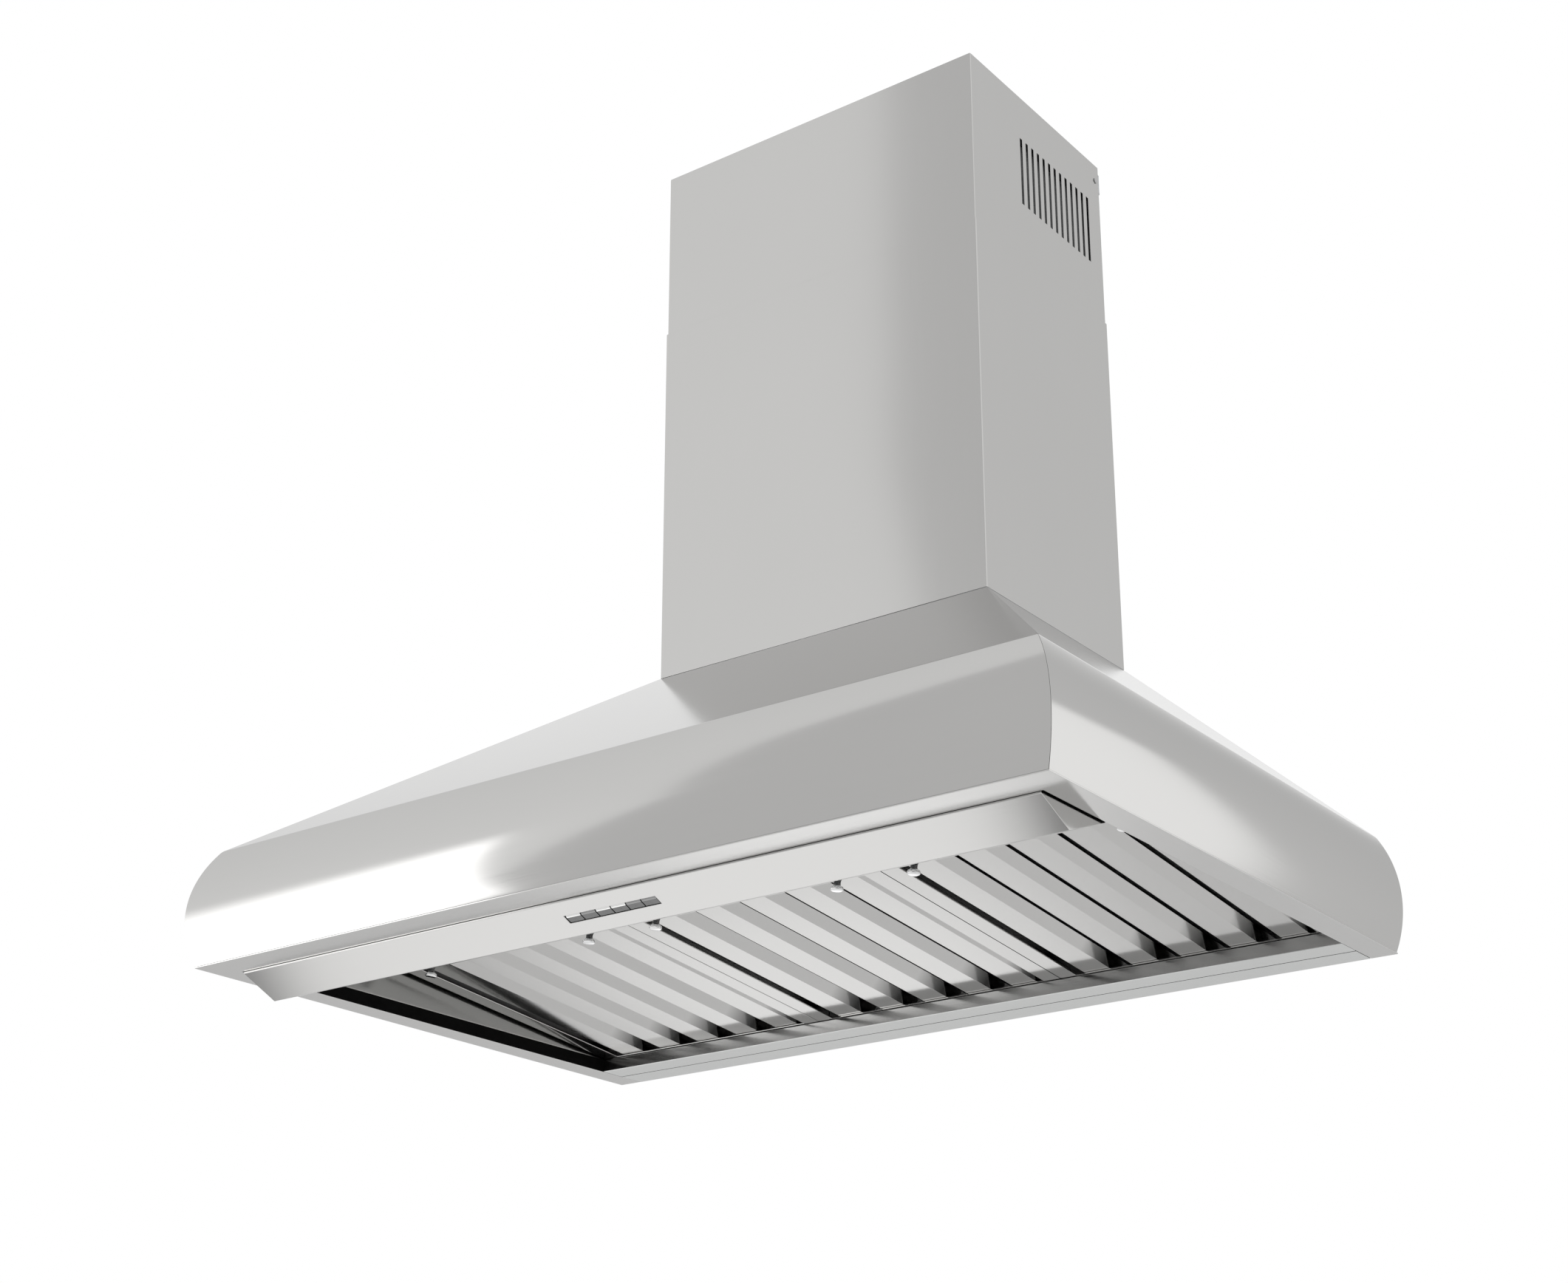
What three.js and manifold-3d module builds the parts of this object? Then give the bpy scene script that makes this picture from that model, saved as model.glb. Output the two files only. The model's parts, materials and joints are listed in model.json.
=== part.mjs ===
// A wall-mounted canopy range hood: a curved stainless canopy with a telescoping chimney,
// a control fascia with six push buttons, three tilted baffle filters, and the blower inside.
// Units are millimetres. x is to the right seen from the front, y towards the wall, z up.
// While it is built, y = 0 is the wall plane and z = 0 the underside of the canopy's rim.

import * as THREE from "three";
import { mergeVertices } from "three/addons/utils/BufferGeometryUtils.js";
import Module from "manifold-3d";

const wasm = await Module();
wasm.setup();

// ---------------------------------------------------------------- driving dimensions

const GAP = 0.3; // between pieces that touch
const SHEET = 1.2; // canopy sheet
const ORIGIN_HEIGHT = 200; // of the part's origin above the rim

// Canopy
const RIM_WIDTH = 898;
const RIM_DEPTH = 604;
const RIM_FRONT = 34.3; // width of the rim's front flange
const RIM_SIDE = 25.5;
const RIM_LIP = 13.2; // height of the lip inside the rim
const CURVE_RADIUS = 113.4; // of the bulging skirt
const CURVE_INSET = 105; // of the curve's centre from the rim's edge
const CURVE_HEIGHT = 47;
const SKIRT_TOP = 111.7;
const CANOPY_TOP = 332.1;
const TOP_PLATE_DROP = 4.5; // of the top plate below the canopy's upper edge
const KEYHOLE_X = 150;

// Chimney
const CHIMNEY_HALF = 191.9;
const CHIMNEY_FRONT = -258.8;
const CHIMNEY_BACK = -3.2;
const CHIMNEY_SHEET = 0.9;
const LOWER_TOP = 721.5;
const UPPER_BOTTOM = 531;
const UPPER_TOP = 910.8;
const VENT = { count: 13, first: -163.6, pitch: 11.1, width: 4.6, bottom: 784.4, top: 861.3 };

// Control fascia: a wedge that hangs below the rim behind its front flange
const FASCIA_HALF = 421.5;
const FASCIA_FRONT = [-569.0, -1.6];
const FASCIA_BOTTOM = [-530.1, -19.6];
const FASCIA_REAR = [-475.6, 0.6];
const FASCIA_TOP = 12;
const KEY = { count: 6, pitch: 16.2, gap: 0.5, height: 9.2, middle: 21.9, travel: 2 };

// Baffle filters: tilted, resting on the rear rail
const FILTER_TILT = 5.775; // degrees, front edge up
const FILTER_PITCH = 280;
const FILTER_HALF = 139.5;
const FILTER_FRONT = -318; // along the filter from its pivot
const FILTER_REAR = 17;
const FILTER_DEPTH = 17;
const FILTER_BORDER = 17.2;
const BAFFLE = { pitch: 50.2, half: 13.3, flare: 7.4, rise: 9.4, lowest: 1.3, highest: 15.4 };
const PIVOT_Y = -61.5;
const PIVOT_Z = 13.2;
const KNOB = { x: 100.4, along: -309.4 };

// Blower
const SCROLL = { y: -175, z: 225, outer: 130, inner: 96, sweep: 300, half: 45 };
const OUTLET = { front: SCROLL.y + SCROLL.inner / 2, rear: SCROLL.y + SCROLL.outer, top: 400 };
const BLOWER_PLATE = [-142, -30];
const TOP_PLATE_SLOT = [-132, -40];
const COLLAR = { y: -86, radius: 75, wall: 1.5, top: 462 };
const WHEEL = { radius: 85, inner: 69, half: 38, blades: 20 };
const SHAFT_RADIUS = 4;
const DAMPER = { z: 432, pin: 1.5, root: 3, radius: 71.5 };

// Electrics
const WIRING_BOX = { x: [115, 205], y: [-62, -SHEET - GAP], z: [150, 260], sheet: 1.5 };
const GLAND = { x: 150, y: -32 };
const CABLE_HOLE = { x: 150, y: -60, radius: 11 };

// ---------------------------------------------------------------- solids

const ALONG = {
  x: new THREE.Matrix4().makeBasis(
    new THREE.Vector3(0, 1, 0),
    new THREE.Vector3(0, 0, 1),
    new THREE.Vector3(1, 0, 0),
  ),
  y: new THREE.Matrix4().makeBasis(
    new THREE.Vector3(1, 0, 0),
    new THREE.Vector3(0, 0, 1),
    new THREE.Vector3(0, -1, 0),
  ),
  z: new THREE.Matrix4(),
};

function solidOf(geometry) {
  const bare = geometry.clone();
  bare.deleteAttribute("normal");
  bare.deleteAttribute("uv");
  const merged = mergeVertices(bare, 1e-4);
  return new wasm.Manifold(
    new wasm.Mesh({
      numProp: 3,
      vertProperties: merged.attributes.position.array,
      triVerts: new Uint32Array(merged.index.array),
    }),
  );
}

function geometryOf(solid) {
  const mesh = solid.getMesh();
  const geometry = new THREE.BufferGeometry();
  geometry.setAttribute("position", new THREE.BufferAttribute(mesh.vertProperties, 3));
  geometry.setIndex(new THREE.BufferAttribute(mesh.triVerts, 1));
  const flat = geometry.toNonIndexed();
  flat.computeVertexNormals();
  return flat;
}

function box(x, y, z) {
  const geometry = new THREE.BoxGeometry(x[1] - x[0], y[1] - y[0], z[1] - z[0]);
  geometry.translate((x[0] + x[1]) / 2, (y[0] + y[1]) / 2, (z[0] + z[1]) / 2);
  return solidOf(geometry);
}

function polygon(points) {
  return new THREE.Shape(points.map(([u, v]) => new THREE.Vector2(u, v)));
}

// An outline extruded along an axis. It lies in (y, z) for x, in (x, z) for y and in (x, y) for z.
function extrude(outline, axis, from, to, curveSegments = 6) {
  const shape = Array.isArray(outline) ? polygon(outline) : outline;
  const depth = to - from;
  const geometry = new THREE.ExtrudeGeometry(shape, { depth, bevelEnabled: false, curveSegments });
  geometry.applyMatrix4(ALONG[axis]);
  const start = { x: [from, 0, 0], y: [0, to, 0], z: [0, 0, from] }[axis];
  geometry.translate(...start);
  return solidOf(geometry);
}

function disc(u, v, radius) {
  const shape = new THREE.Shape();
  shape.absarc(u, v, radius, 0, 2 * Math.PI);
  return shape;
}

function rod(u, v, radius, axis, from, to, segments = 12) {
  return extrude(disc(u, v, radius), axis, from, to, segments);
}

// A solid of revolution about a vertical axis through (x, y); the profile holds [radius, height].
function turned(profile, x, y, segments = 20) {
  const points = profile.map(([r, h]) => new THREE.Vector2(r, h));
  const geometry = new THREE.LatheGeometry(points, segments);
  geometry.rotateX(Math.PI / 2);
  geometry.translate(x, y, 0);
  return solidOf(geometry);
}

function ordered(a, b) {
  return [Math.min(a, b), Math.max(a, b)];
}

function join(solids) {
  return solids.reduce((whole, next) => whole.add(next));
}

const STAINLESS = { color: 0xc9c8c5, roughness: 0.3, metalness: 1 };
const CHROME = { color: 0xdedede, roughness: 0.08, metalness: 1 };
const GALVANISED = { color: 0xaeb2b4, roughness: 0.5, metalness: 1 };
const DARK_PLASTIC = { color: 0x3a3b3d, roughness: 0.6, metalness: 0 };
const KEY_PLASTIC = { color: 0x8a8a8a, roughness: 0.45, metalness: 0 };
const BLACK_PLASTIC = { color: 0x1c1c1e, roughness: 0.5, metalness: 0 };
const CIRCUIT = { color: 0x1f5a3a, roughness: 0.6, metalness: 0 };
const LENS = { color: 0xf4f4ee, roughness: 0.2, metalness: 0 };
const MOTOR_PAINT = { color: 0x4a4d50, roughness: 0.5, metalness: 0.4 };

function addPart(group, name, solid, finish) {
  const mesh = new THREE.Mesh(geometryOf(solid), new THREE.MeshStandardMaterial(finish));
  mesh.name = name;
  group.add(mesh);
}

// ---------------------------------------------------------------- canopy skin

const CURVE_STEPS = 7;
const OUTER_EDGE_POINTS = 2 * CURVE_STEPS + 2; // of a section, up to its top
const SKIRT_BOTTOM = SHEET + GAP;
const halfRim = RIM_WIDTH / 2;
const skirtInset = CURVE_INSET - Math.sqrt(CURVE_RADIUS ** 2 - (SKIRT_TOP - CURVE_HEIGHT) ** 2);

// Section of the skin: a curved skirt and a straight slope, from the rim's edge at zero inwards.
function skinSection(slopeRun, skirtBottom) {
  const lowAngle = Math.PI + Math.asin((CURVE_HEIGHT - skirtBottom) / CURVE_RADIUS);
  const highAngle = Math.PI - Math.asin((SKIRT_TOP - CURVE_HEIGHT) / CURVE_RADIUS);
  const slope = new THREE.Vector2(slopeRun, CANOPY_TOP - SKIRT_TOP).normalize();
  const inward = new THREE.Vector2(slope.y, -slope.x).multiplyScalar(SHEET);
  const top = new THREE.Vector2(skirtInset + slopeRun, CANOPY_TOP);
  const shape = new THREE.Shape();
  shape.absarc(CURVE_INSET, CURVE_HEIGHT, CURVE_RADIUS, lowAngle, highAngle, true);
  shape.lineTo(top.x, top.y);
  shape.lineTo(top.x + inward.x, top.y + inward.y);
  shape.absarc(CURVE_INSET, CURVE_HEIGHT, CURVE_RADIUS - SHEET, highAngle, lowAngle, false);
  return shape.extractPoints(CURVE_STEPS).shape;
}

// Plan of the front panel: mitred at 45 degrees over the skirt and along the hips above it.
function frontPlan(shift) {
  const outside = 20;
  const right = [
    [halfRim + outside, -RIM_DEPTH - outside + shift],
    [halfRim - skirtInset, -RIM_DEPTH + skirtInset + shift],
    [CHIMNEY_HALF - 1, CHIMNEY_FRONT + 1.4 + shift],
  ];
  const left = right.map(([x, y]) => [-x, y]).reverse();
  return extrude([...right, ...left], "z", -10, CANOPY_TOP + 10);
}

function canopyFront() {
  const run = CHIMNEY_FRONT + RIM_DEPTH - skirtInset;
  const outline = skinSection(run, SKIRT_BOTTOM).map((p) => [p.x - RIM_DEPTH, p.y]);
  return extrude(outline, "x", -halfRim - 20, halfRim + 20).intersect(frontPlan(0));
}

function canopySide(side) {
  const run = halfRim - skirtInset - CHIMNEY_HALF;
  const outline = skinSection(run, SKIRT_BOTTOM).map((p) => [side * (halfRim - p.x), p.y]);
  return extrude(outline, "y", -RIM_DEPTH - 15, 0).subtract(frontPlan(0.4));
}

// The back panel lies flat on the wall, inside the side panels, with a flange along its foot.
function canopyBack() {
  const clear = SHEET + 2 * GAP;
  const run = halfRim - skirtInset - CHIMNEY_HALF;
  const edge = skinSection(run, SKIRT_BOTTOM).slice(0, OUTER_EDGE_POINTS);
  const right = edge.map((p) => [halfRim - p.x - clear, p.y]);
  right[right.length - 1] = [CHIMNEY_HALF - clear, CANOPY_TOP - clear];
  const left = right.map(([x, z]) => [-x, z]).reverse();
  const plate = extrude([...right, ...left], "y", -SHEET, 0);
  const inner = halfRim - RIM_SIDE - 2 * GAP;
  const foot = box([-inner, inner], [-31.7, 0], [0, SHEET]);
  const heel = box([-inner, inner], [-SHEET, 0], [0, 4]);
  const keyholes = [-KEYHOLE_X, KEYHOLE_X].map((x) => keyhole(x, ORIGIN_HEIGHT));
  return join([plate, foot, heel]).subtract(join(keyholes));
}

// A keyhole through the back panel, for hanging the hood on a screw head.
function keyhole(x, z) {
  const head = rod(x, z, 6.5, "y", -SHEET - 1, 1);
  const neck = box([x - 3, x + 3], [-SHEET - 1, 1], [z, z + 16]);
  return head.add(neck);
}

function canopyTop() {
  const half = CHIMNEY_HALF - 3;
  const z = CANOPY_TOP - TOP_PLATE_DROP;
  const through = [z - 1, z + SHEET + 1];
  const plate = box([-half, half], [CHIMNEY_FRONT + 3, -SHEET - GAP], [z, z + SHEET]);
  const duct = box([-SCROLL.half - 4, SCROLL.half + 4], TOP_PLATE_SLOT, through);
  const cable = rod(CABLE_HOLE.x, CABLE_HOLE.y, CABLE_HOLE.radius, "z", ...through);
  return plate.subtract(duct).subtract(cable);
}

// ---------------------------------------------------------------- rim and inner walls

const innerSide = halfRim - RIM_SIDE;
const innerFront = -RIM_DEPTH + RIM_FRONT;

function rimFrame() {
  const plate = box([-halfRim, halfRim], [-RIM_DEPTH, 0], [0, SHEET]);
  const opening = box([-innerSide, innerSide], [innerFront, 1], [-1, SHEET + 1]);
  const lipSide = innerSide + SHEET;
  const lipFront = innerFront - SHEET;
  const frontLip = box([-lipSide, lipSide], [lipFront, innerFront], [0, RIM_LIP]);
  const sideLips = [-1, 1].map((side) => {
    const x = ordered(side * innerSide, side * lipSide);
    return box(x, [lipFront, -SHEET - GAP], [0, RIM_LIP]);
  });
  return join([plate.subtract(opening), frontLip, ...sideLips, ...rimUpstands()]);
}

// Hidden upstands just inside the skin, which hold its lower edge.
function rimUpstands() {
  const inset = 3.6;
  const height = 14;
  const near = halfRim - inset;
  const front = -RIM_DEPTH + inset;
  return [
    box([-near, near], [front, front + SHEET], [0, height]),
    box([-near, -near + SHEET], [front, -SHEET - GAP], [0, height]),
    box([near - SHEET, near], [front, -SHEET - GAP], [0, height]),
  ];
}

// Channel along the back: it carries the filters' rear edges and catches the grease they drain.
function rearRail() {
  const half = innerSide - 2 * GAP;
  const lipTop = PIVOT_Z - GAP - 0.1;
  const slope = Math.tan(THREE.MathUtils.degToRad(FILTER_TILT));
  const ledge = 21;
  const outline = [
    [PIVOT_Y, 0],
    [-32, 0],
    [-32, 8],
    [-32 - SHEET, 8],
    [-32 - SHEET, SHEET],
    [PIVOT_Y + SHEET, SHEET],
    [PIVOT_Y + SHEET, lipTop - SHEET * (1 + slope)],
    [PIVOT_Y + ledge, lipTop - SHEET - ledge * slope],
    [PIVOT_Y + ledge, lipTop - ledge * slope],
    [PIVOT_Y, lipTop],
  ];
  return extrude(outline, "x", -half, half);
}

// Side liner between the rim's lip and the filters, which rise towards the front.
function sideWall(side) {
  const near = innerSide + SHEET + GAP;
  const outline = [
    [innerFront + 2, 3],
    [-SHEET - GAP, 3],
    [-SHEET - GAP, 46],
    [-395, 82],
    [innerFront + 2, 82],
  ];
  const from = side > 0 ? near : -near - SHEET;
  return extrude(outline, "x", from, from + SHEET);
}

// ---------------------------------------------------------------- control fascia

const faceAngle = Math.atan2(FASCIA_FRONT[1] - FASCIA_BOTTOM[1], FASCIA_BOTTOM[0] - FASCIA_FRONT[0]);

// A point of the fascia's front face in (y, z), measured down the face and in from it.
function facePoint(along, inward) {
  const c = Math.cos(faceAngle);
  const s = Math.sin(faceAngle);
  return [FASCIA_FRONT[0] + along * c + inward * s, FASCIA_FRONT[1] - along * s + inward * c];
}

function controlFascia() {
  const [fy, fz] = FASCIA_FRONT;
  const [by, bz] = FASCIA_BOTTOM;
  const [ry, rz] = FASCIA_REAR;
  const wedge = [
    [fy, FASCIA_TOP],
    [fy, fz],
    [by, bz],
    [ry, rz],
    [ry, FASCIA_TOP],
  ];
  const hollow = [
    [fy + SHEET, FASCIA_TOP + 1],
    [fy + SHEET, fz + 0.85],
    [by, bz + SHEET * 1.12],
    [ry - SHEET, rz + 0.85],
    [ry - SHEET, FASCIA_TOP + 1],
  ];
  const outer = extrude(wedge, "x", -FASCIA_HALF, FASCIA_HALF);
  const inner = extrude(hollow, "x", -FASCIA_HALF + SHEET, FASCIA_HALF - SHEET);
  return outer.subtract(inner).subtract(keySlot(0));
}

// The rectangular slot that the six keys share.
function keySlot(shrink) {
  const half = (KEY.count * KEY.pitch) / 2 + 0.3 - shrink;
  const low = KEY.middle + KEY.height / 2 + 0.3 - shrink;
  const high = KEY.middle - KEY.height / 2 - 0.3 + shrink;
  const front = [facePoint(high, -2), facePoint(low, -2)];
  const back = [facePoint(low, 4), facePoint(high, 4)];
  return extrude([...front, ...back], "x", -half, half);
}

// In the control group, x is along the fascia, y down its face and z into it.
function makeControls() {
  const group = new THREE.Group();
  group.position.set(0, ...FASCIA_FRONT);
  group.rotation.x = -faceAngle;
  addPart(group, "switch_housing", switchHousing(), BLACK_PLASTIC);
  for (let i = 0; i < KEY.count; i++) addPart(group, `button_${i + 1}`, key(i), KEY_PLASTIC);
  addPart(group, "control_board", controlBoard(), CIRCUIT);
  return group;
}

const keyDepth = 8;
const housing = { front: 1.6, back: 13 };

function keyMiddle(i) {
  return (i - (KEY.count - 1) / 2) * KEY.pitch;
}

function switchHousing() {
  const half = (KEY.count * KEY.pitch) / 2 + 3;
  const body = box([-half, half], [KEY.middle - 8, KEY.middle + 8], [housing.front, housing.back]);
  const wide = KEY.pitch / 2 - 0.4;
  const tall = KEY.height / 2 + 0.4;
  const depth = keyDepth + KEY.travel + 1.4;
  const pockets = [...Array(KEY.count).keys()].map((i) => {
    const x = keyMiddle(i);
    return box([x - wide, x + wide], [KEY.middle - tall, KEY.middle + tall], [0, depth]);
  });
  return body.subtract(join(pockets));
}

// A key: a square body with a slanted band along the upper edge of its face.
function key(i) {
  const x = keyMiddle(i);
  const wide = KEY.pitch / 2 - KEY.gap;
  const top = KEY.middle - KEY.height / 2;
  const bottom = KEY.middle + KEY.height / 2;
  const outline = [
    [top, 1.5],
    [top + 3, 0.5],
    [bottom, 0.7],
    [bottom, keyDepth],
    [top, keyDepth],
  ];
  return extrude(outline, "x", x - wide, x + wide);
}

function controlBoard() {
  const half = (KEY.count * KEY.pitch) / 2 + 12;
  const z = housing.back + GAP;
  const board = box([-half, half], [KEY.middle - 9, KEY.middle + 9], [z, z + 1.6]);
  const plug = box([20, 40], [KEY.middle - 4, KEY.middle + 4], [z + 1, z + 8]);
  return board.add(plug);
}

// ---------------------------------------------------------------- lamps

const LAMP_PANEL_START = [-474.9, 1.6];
const LAMP_PANEL_END = [-390.4, 45.6];
const LAMP_X = 250;
const LAMP_HOLE = 30;
const lampAngle = Math.atan2(
  LAMP_PANEL_END[1] - LAMP_PANEL_START[1],
  LAMP_PANEL_END[0] - LAMP_PANEL_START[0],
);
const lampPanelLength = Math.hypot(
  LAMP_PANEL_END[0] - LAMP_PANEL_START[0],
  LAMP_PANEL_END[1] - LAMP_PANEL_START[1],
);

// In the lamp group, y runs up the panel from the fascia and z is square to it, upwards.
function makeLamps() {
  const group = new THREE.Group();
  group.position.set(0, ...LAMP_PANEL_START);
  group.rotation.x = lampAngle;
  addPart(group, "lamp_panel", lampPanel(), STAINLESS);
  for (const [name, side] of [["left", -1], ["right", 1]]) {
    addPart(group, `lamp_${name}`, lampHousing(side * LAMP_X), CHROME);
    addPart(group, `lamp_lens_${name}`, lampLens(side * LAMP_X), LENS);
  }
  return group;
}

function lampPanel() {
  const half = innerSide - 2 * GAP;
  const panel = box([-half, half], [0, lampPanelLength], [0, SHEET]);
  const middle = lampPanelLength / 2;
  const holes = [-LAMP_X, LAMP_X].map((x) => rod(x, middle, LAMP_HOLE, "z", -1, SHEET + 1));
  return panel.subtract(join(holes));
}

function lampHousing(x) {
  const profile = [
    [26, -2.4],
    [33, -2.4],
    [34, -1.6],
    [34, -GAP],
    [29.6, -GAP],
    [29.6, 6],
    [24, 22],
    [0, 22],
    [0, 20.8],
    [23.2, 20.8],
    [28.4, 5.4],
    [28.4, 1],
    [26, 1],
    [26, -2.4],
  ];
  return turned(profile, x, lampPanelLength / 2);
}

function lampLens(x) {
  return turned([[0, -1.8], [24, -1.8], [25.6, -0.8], [25.6, 0.7], [0, 0.7]], x, lampPanelLength / 2);
}

// ---------------------------------------------------------------- filters

// In a filter's group, x is across it, y along it to the rear and z square to it, upwards.
// Its origin is the line where it rests on, and turns about, the rear rail's edge.
function makeFilter(number) {
  const group = new THREE.Group();
  group.position.set((number - 2) * FILTER_PITCH, PIVOT_Y, PIVOT_Z);
  group.rotation.x = -THREE.MathUtils.degToRad(FILTER_TILT);
  addPart(group, `filter_${number}_frame`, filterFrame(), STAINLESS);
  addPart(group, `filter_${number}_baffles`, filterBaffles(), STAINLESS);
  for (const [name, side] of [["left", -1], ["right", 1]]) {
    addPart(group, `filter_${number}_knob_${name}`, knob(side * KNOB.x), CHROME);
  }
  return group;
}

// A frame of channel section, open inwards.
function filterFrame() {
  const sheet = 1;
  const outer = box([-FILTER_HALF, FILTER_HALF], [FILTER_FRONT, FILTER_REAR], [0, FILTER_DEPTH]);
  const channel = box(
    [-FILTER_HALF + sheet, FILTER_HALF - sheet],
    [FILTER_FRONT + sheet, FILTER_REAR - sheet],
    [sheet, FILTER_DEPTH - sheet],
  );
  const half = FILTER_HALF - FILTER_BORDER;
  const window = box([-half, half], [FILTER_FRONT + FILTER_BORDER, -2], [-1, FILTER_DEPTH + 1]);
  return outer.subtract(channel).subtract(window).subtract(knobBores(2.8));
}

function knobBores(radius) {
  const bores = [-KNOB.x, KNOB.x].map((x) => rod(x, KNOB.along, radius, "z", -1, FILTER_DEPTH + 1, 5));
  return join(bores);
}

// A channel with flared legs, opening up for the lower row and down for the upper row.
function baffle(x, upward, from, to) {
  const sheet = 1;
  const { half, flare, rise, lowest, highest } = BAFFLE;
  const base = upward ? lowest : highest;
  const up = upward ? 1 : -1;
  const right = [
    [x + half, base],
    [x + half + flare, base + up * rise],
    [x + half + flare - 1.2, base + up * rise],
    [x + half - 0.6, base + up * sheet],
  ];
  const left = right.map(([u, v]) => [2 * x - u, v]).reverse();
  return extrude([...right, ...left], "y", from, to);
}

function filterBaffles() {
  const { pitch, lowest, highest } = BAFFLE;
  const front = FILTER_FRONT + 1.4;
  const rear = FILTER_REAR - 1.4;
  const width = FILTER_HALF - 1.4;
  const rows = [];
  for (let i = -2; i <= 2; i++) rows.push(baffle(i * pitch, true, front, rear));
  for (let i = -2.5; i <= 2.5; i++) rows.push(baffle(i * pitch, false, front, rear));
  const ends = [box([-width, width], [front, front + 1.6], [lowest, highest])];
  ends.push(box([-width, width], [rear - 1.6, rear], [lowest, highest]));
  const envelope = box([-width, width], [front, rear], [lowest, highest]);
  return join([...rows, ...ends]).intersect(envelope).subtract(knobBores(3.6));
}

// A spool-shaped pull knob. Its stud passes through the frame and ends in a ball that snaps
// into the spring socket on the front rail.
function knob(x) {
  const profile = [
    [0, -13],
    [4.9, -13],
    [5.8, -12.3],
    [5.8, -10.4],
    [5.0, -9.6],
    [3.4, -8.6],
    [3.2, -5],
    [4.4, -1.4],
    [5, -GAP],
    [2.2, -GAP],
    [2.2, 20],
    [3, 22],
    [3, 24],
    [1.6, 26],
    [0, 26],
  ];
  return turned(profile, x, KNOB.along, 12);
}

// Rail above the filters' front edges, with a spring socket for each knob's stud.
function makeFrontRail() {
  const group = new THREE.Group();
  group.position.set(0, PIVOT_Y, PIVOT_Z);
  group.rotation.x = -THREE.MathUtils.degToRad(FILTER_TILT);
  const half = innerSide - 2 * GAP;
  const wall = FILTER_FRONT - 1.3;
  const top = FILTER_DEPTH + 1;
  const flange = box([-half, half], [wall - SHEET, -296], [top, top + SHEET]);
  const web = box([-half, half], [wall - SHEET, wall], [0, top + SHEET]);
  const foot = box([-half, half], [wall - 10, wall], [0, SHEET]);
  const places = [];
  for (let n = -1; n <= 1; n++) places.push(n * FILTER_PITCH - KNOB.x, n * FILTER_PITCH + KNOB.x);
  const collars = places.map((x) => rod(x, KNOB.along, 6.4, "z", top, top + 8, 5));
  const bores = places.map((x) => rod(x, KNOB.along, 4.4, "z", top - 1, top + 9, 5));
  const rail = join([flange, web, foot, ...collars]).subtract(join(bores));
  addPart(group, "front_filter_rail", rail, GALVANISED);
  return group;
}

// ---------------------------------------------------------------- chimney

// A cover bent to a U, open towards the wall.
function cover(half, front, back, bottom, top) {
  const outer = box([-half, half], [front, back], [bottom, top]);
  const inner = box(
    [-half + CHIMNEY_SHEET, half - CHIMNEY_SHEET],
    [front + CHIMNEY_SHEET, back + 1],
    [bottom - 1, top + 1],
  );
  return outer.subtract(inner);
}

function lowerCover() {
  return cover(CHIMNEY_HALF, CHIMNEY_FRONT, CHIMNEY_BACK, CANOPY_TOP + GAP, LOWER_TOP);
}

const upperHalf = CHIMNEY_HALF - CHIMNEY_SHEET - GAP;
const upperBack = CHIMNEY_BACK - 0.7;
const screwPlace = [-10.4, 891.8];

function upperCover() {
  const front = CHIMNEY_FRONT + CHIMNEY_SHEET + GAP;
  const shell = cover(upperHalf, front, upperBack, UPPER_BOTTOM, UPPER_TOP);
  const across = [-upperHalf - 1, upperHalf + 1];
  const holes = [rod(...screwPlace, 2.2, "x", ...across, 4)];
  for (let i = 0; i < VENT.count; i++) {
    const y = VENT.first + i * VENT.pitch;
    holes.push(box(across, [y - VENT.width / 2, y + VENT.width / 2], [VENT.bottom, VENT.top]));
  }
  return shell.subtract(join(holes));
}

// Shallow cap that closes a field of vent slots from inside while the hood is ducted out.
function ventCap(side) {
  const face = upperHalf - CHIMNEY_SHEET - GAP;
  const last = VENT.first + (VENT.count - 1) * VENT.pitch;
  const block = (near, far, edge) => box(
    ordered(side * near, side * far),
    [VENT.first - 8 - edge, last + 8 + edge],
    [VENT.bottom - 4 - edge, VENT.top + 2 + edge],
  );
  const body = block(face - 8, face, 0).add(block(face - 1, face, 6));
  return body.subtract(block(face - 7, face + 1, -1));
}

// Strap that is screwed to the wall at the top; its ears hold the upper cover's sides.
function wallBracket() {
  const half = upperHalf - CHIMNEY_SHEET - GAP;
  const z = [screwPlace[1] - 12, screwPlace[1] + 12];
  const strap = box([-half, half], [-1.5, 0], z);
  const ears = [-1, 1].map((side) => box(ordered(side * half, side * (half - 1.5)), [-22, 0], z));
  const earHoles = rod(...screwPlace, 2.2, "x", -half - 1, half + 1, 4);
  const wallHoles = [-120, 120].map((x) => rod(x, screwPlace[1], 3, "y", -3, 1, 4));
  return join([strap, ...ears]).subtract(earHoles).subtract(join(wallHoles));
}

function coverScrew(side) {
  const head = upperHalf + GAP;
  const span = (near, far) => ordered(side * near, side * far);
  const shank = rod(...screwPlace, 1.8, "x", ...span(head - 6, head + 1), 5);
  return shank.add(rod(...screwPlace, 3.2, "x", ...span(head, head + 0.8), 6));
}

// ---------------------------------------------------------------- blower

// Spiral outline of the scroll in (y, z), grown by an offset; its outlet points up.
function scrollOutline(grow) {
  const { y, z, outer, inner, sweep } = SCROLL;
  const steps = 30;
  const points = [];
  for (let i = 0; i <= steps; i++) {
    const part = i / steps;
    const angle = THREE.MathUtils.degToRad(-sweep * part);
    const radius = outer + (inner - outer) * part + grow;
    points.push([y + radius * Math.cos(angle), z + radius * Math.sin(angle)]);
  }
  const tongue = OUTLET.front - grow;
  const lip = points[points.length - 1];
  points[points.length - 1] = [tongue, lip[1]];
  points.push([tongue, OUTLET.top]);
  points.push([y + outer + grow, OUTLET.top]);
  return points;
}

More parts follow.
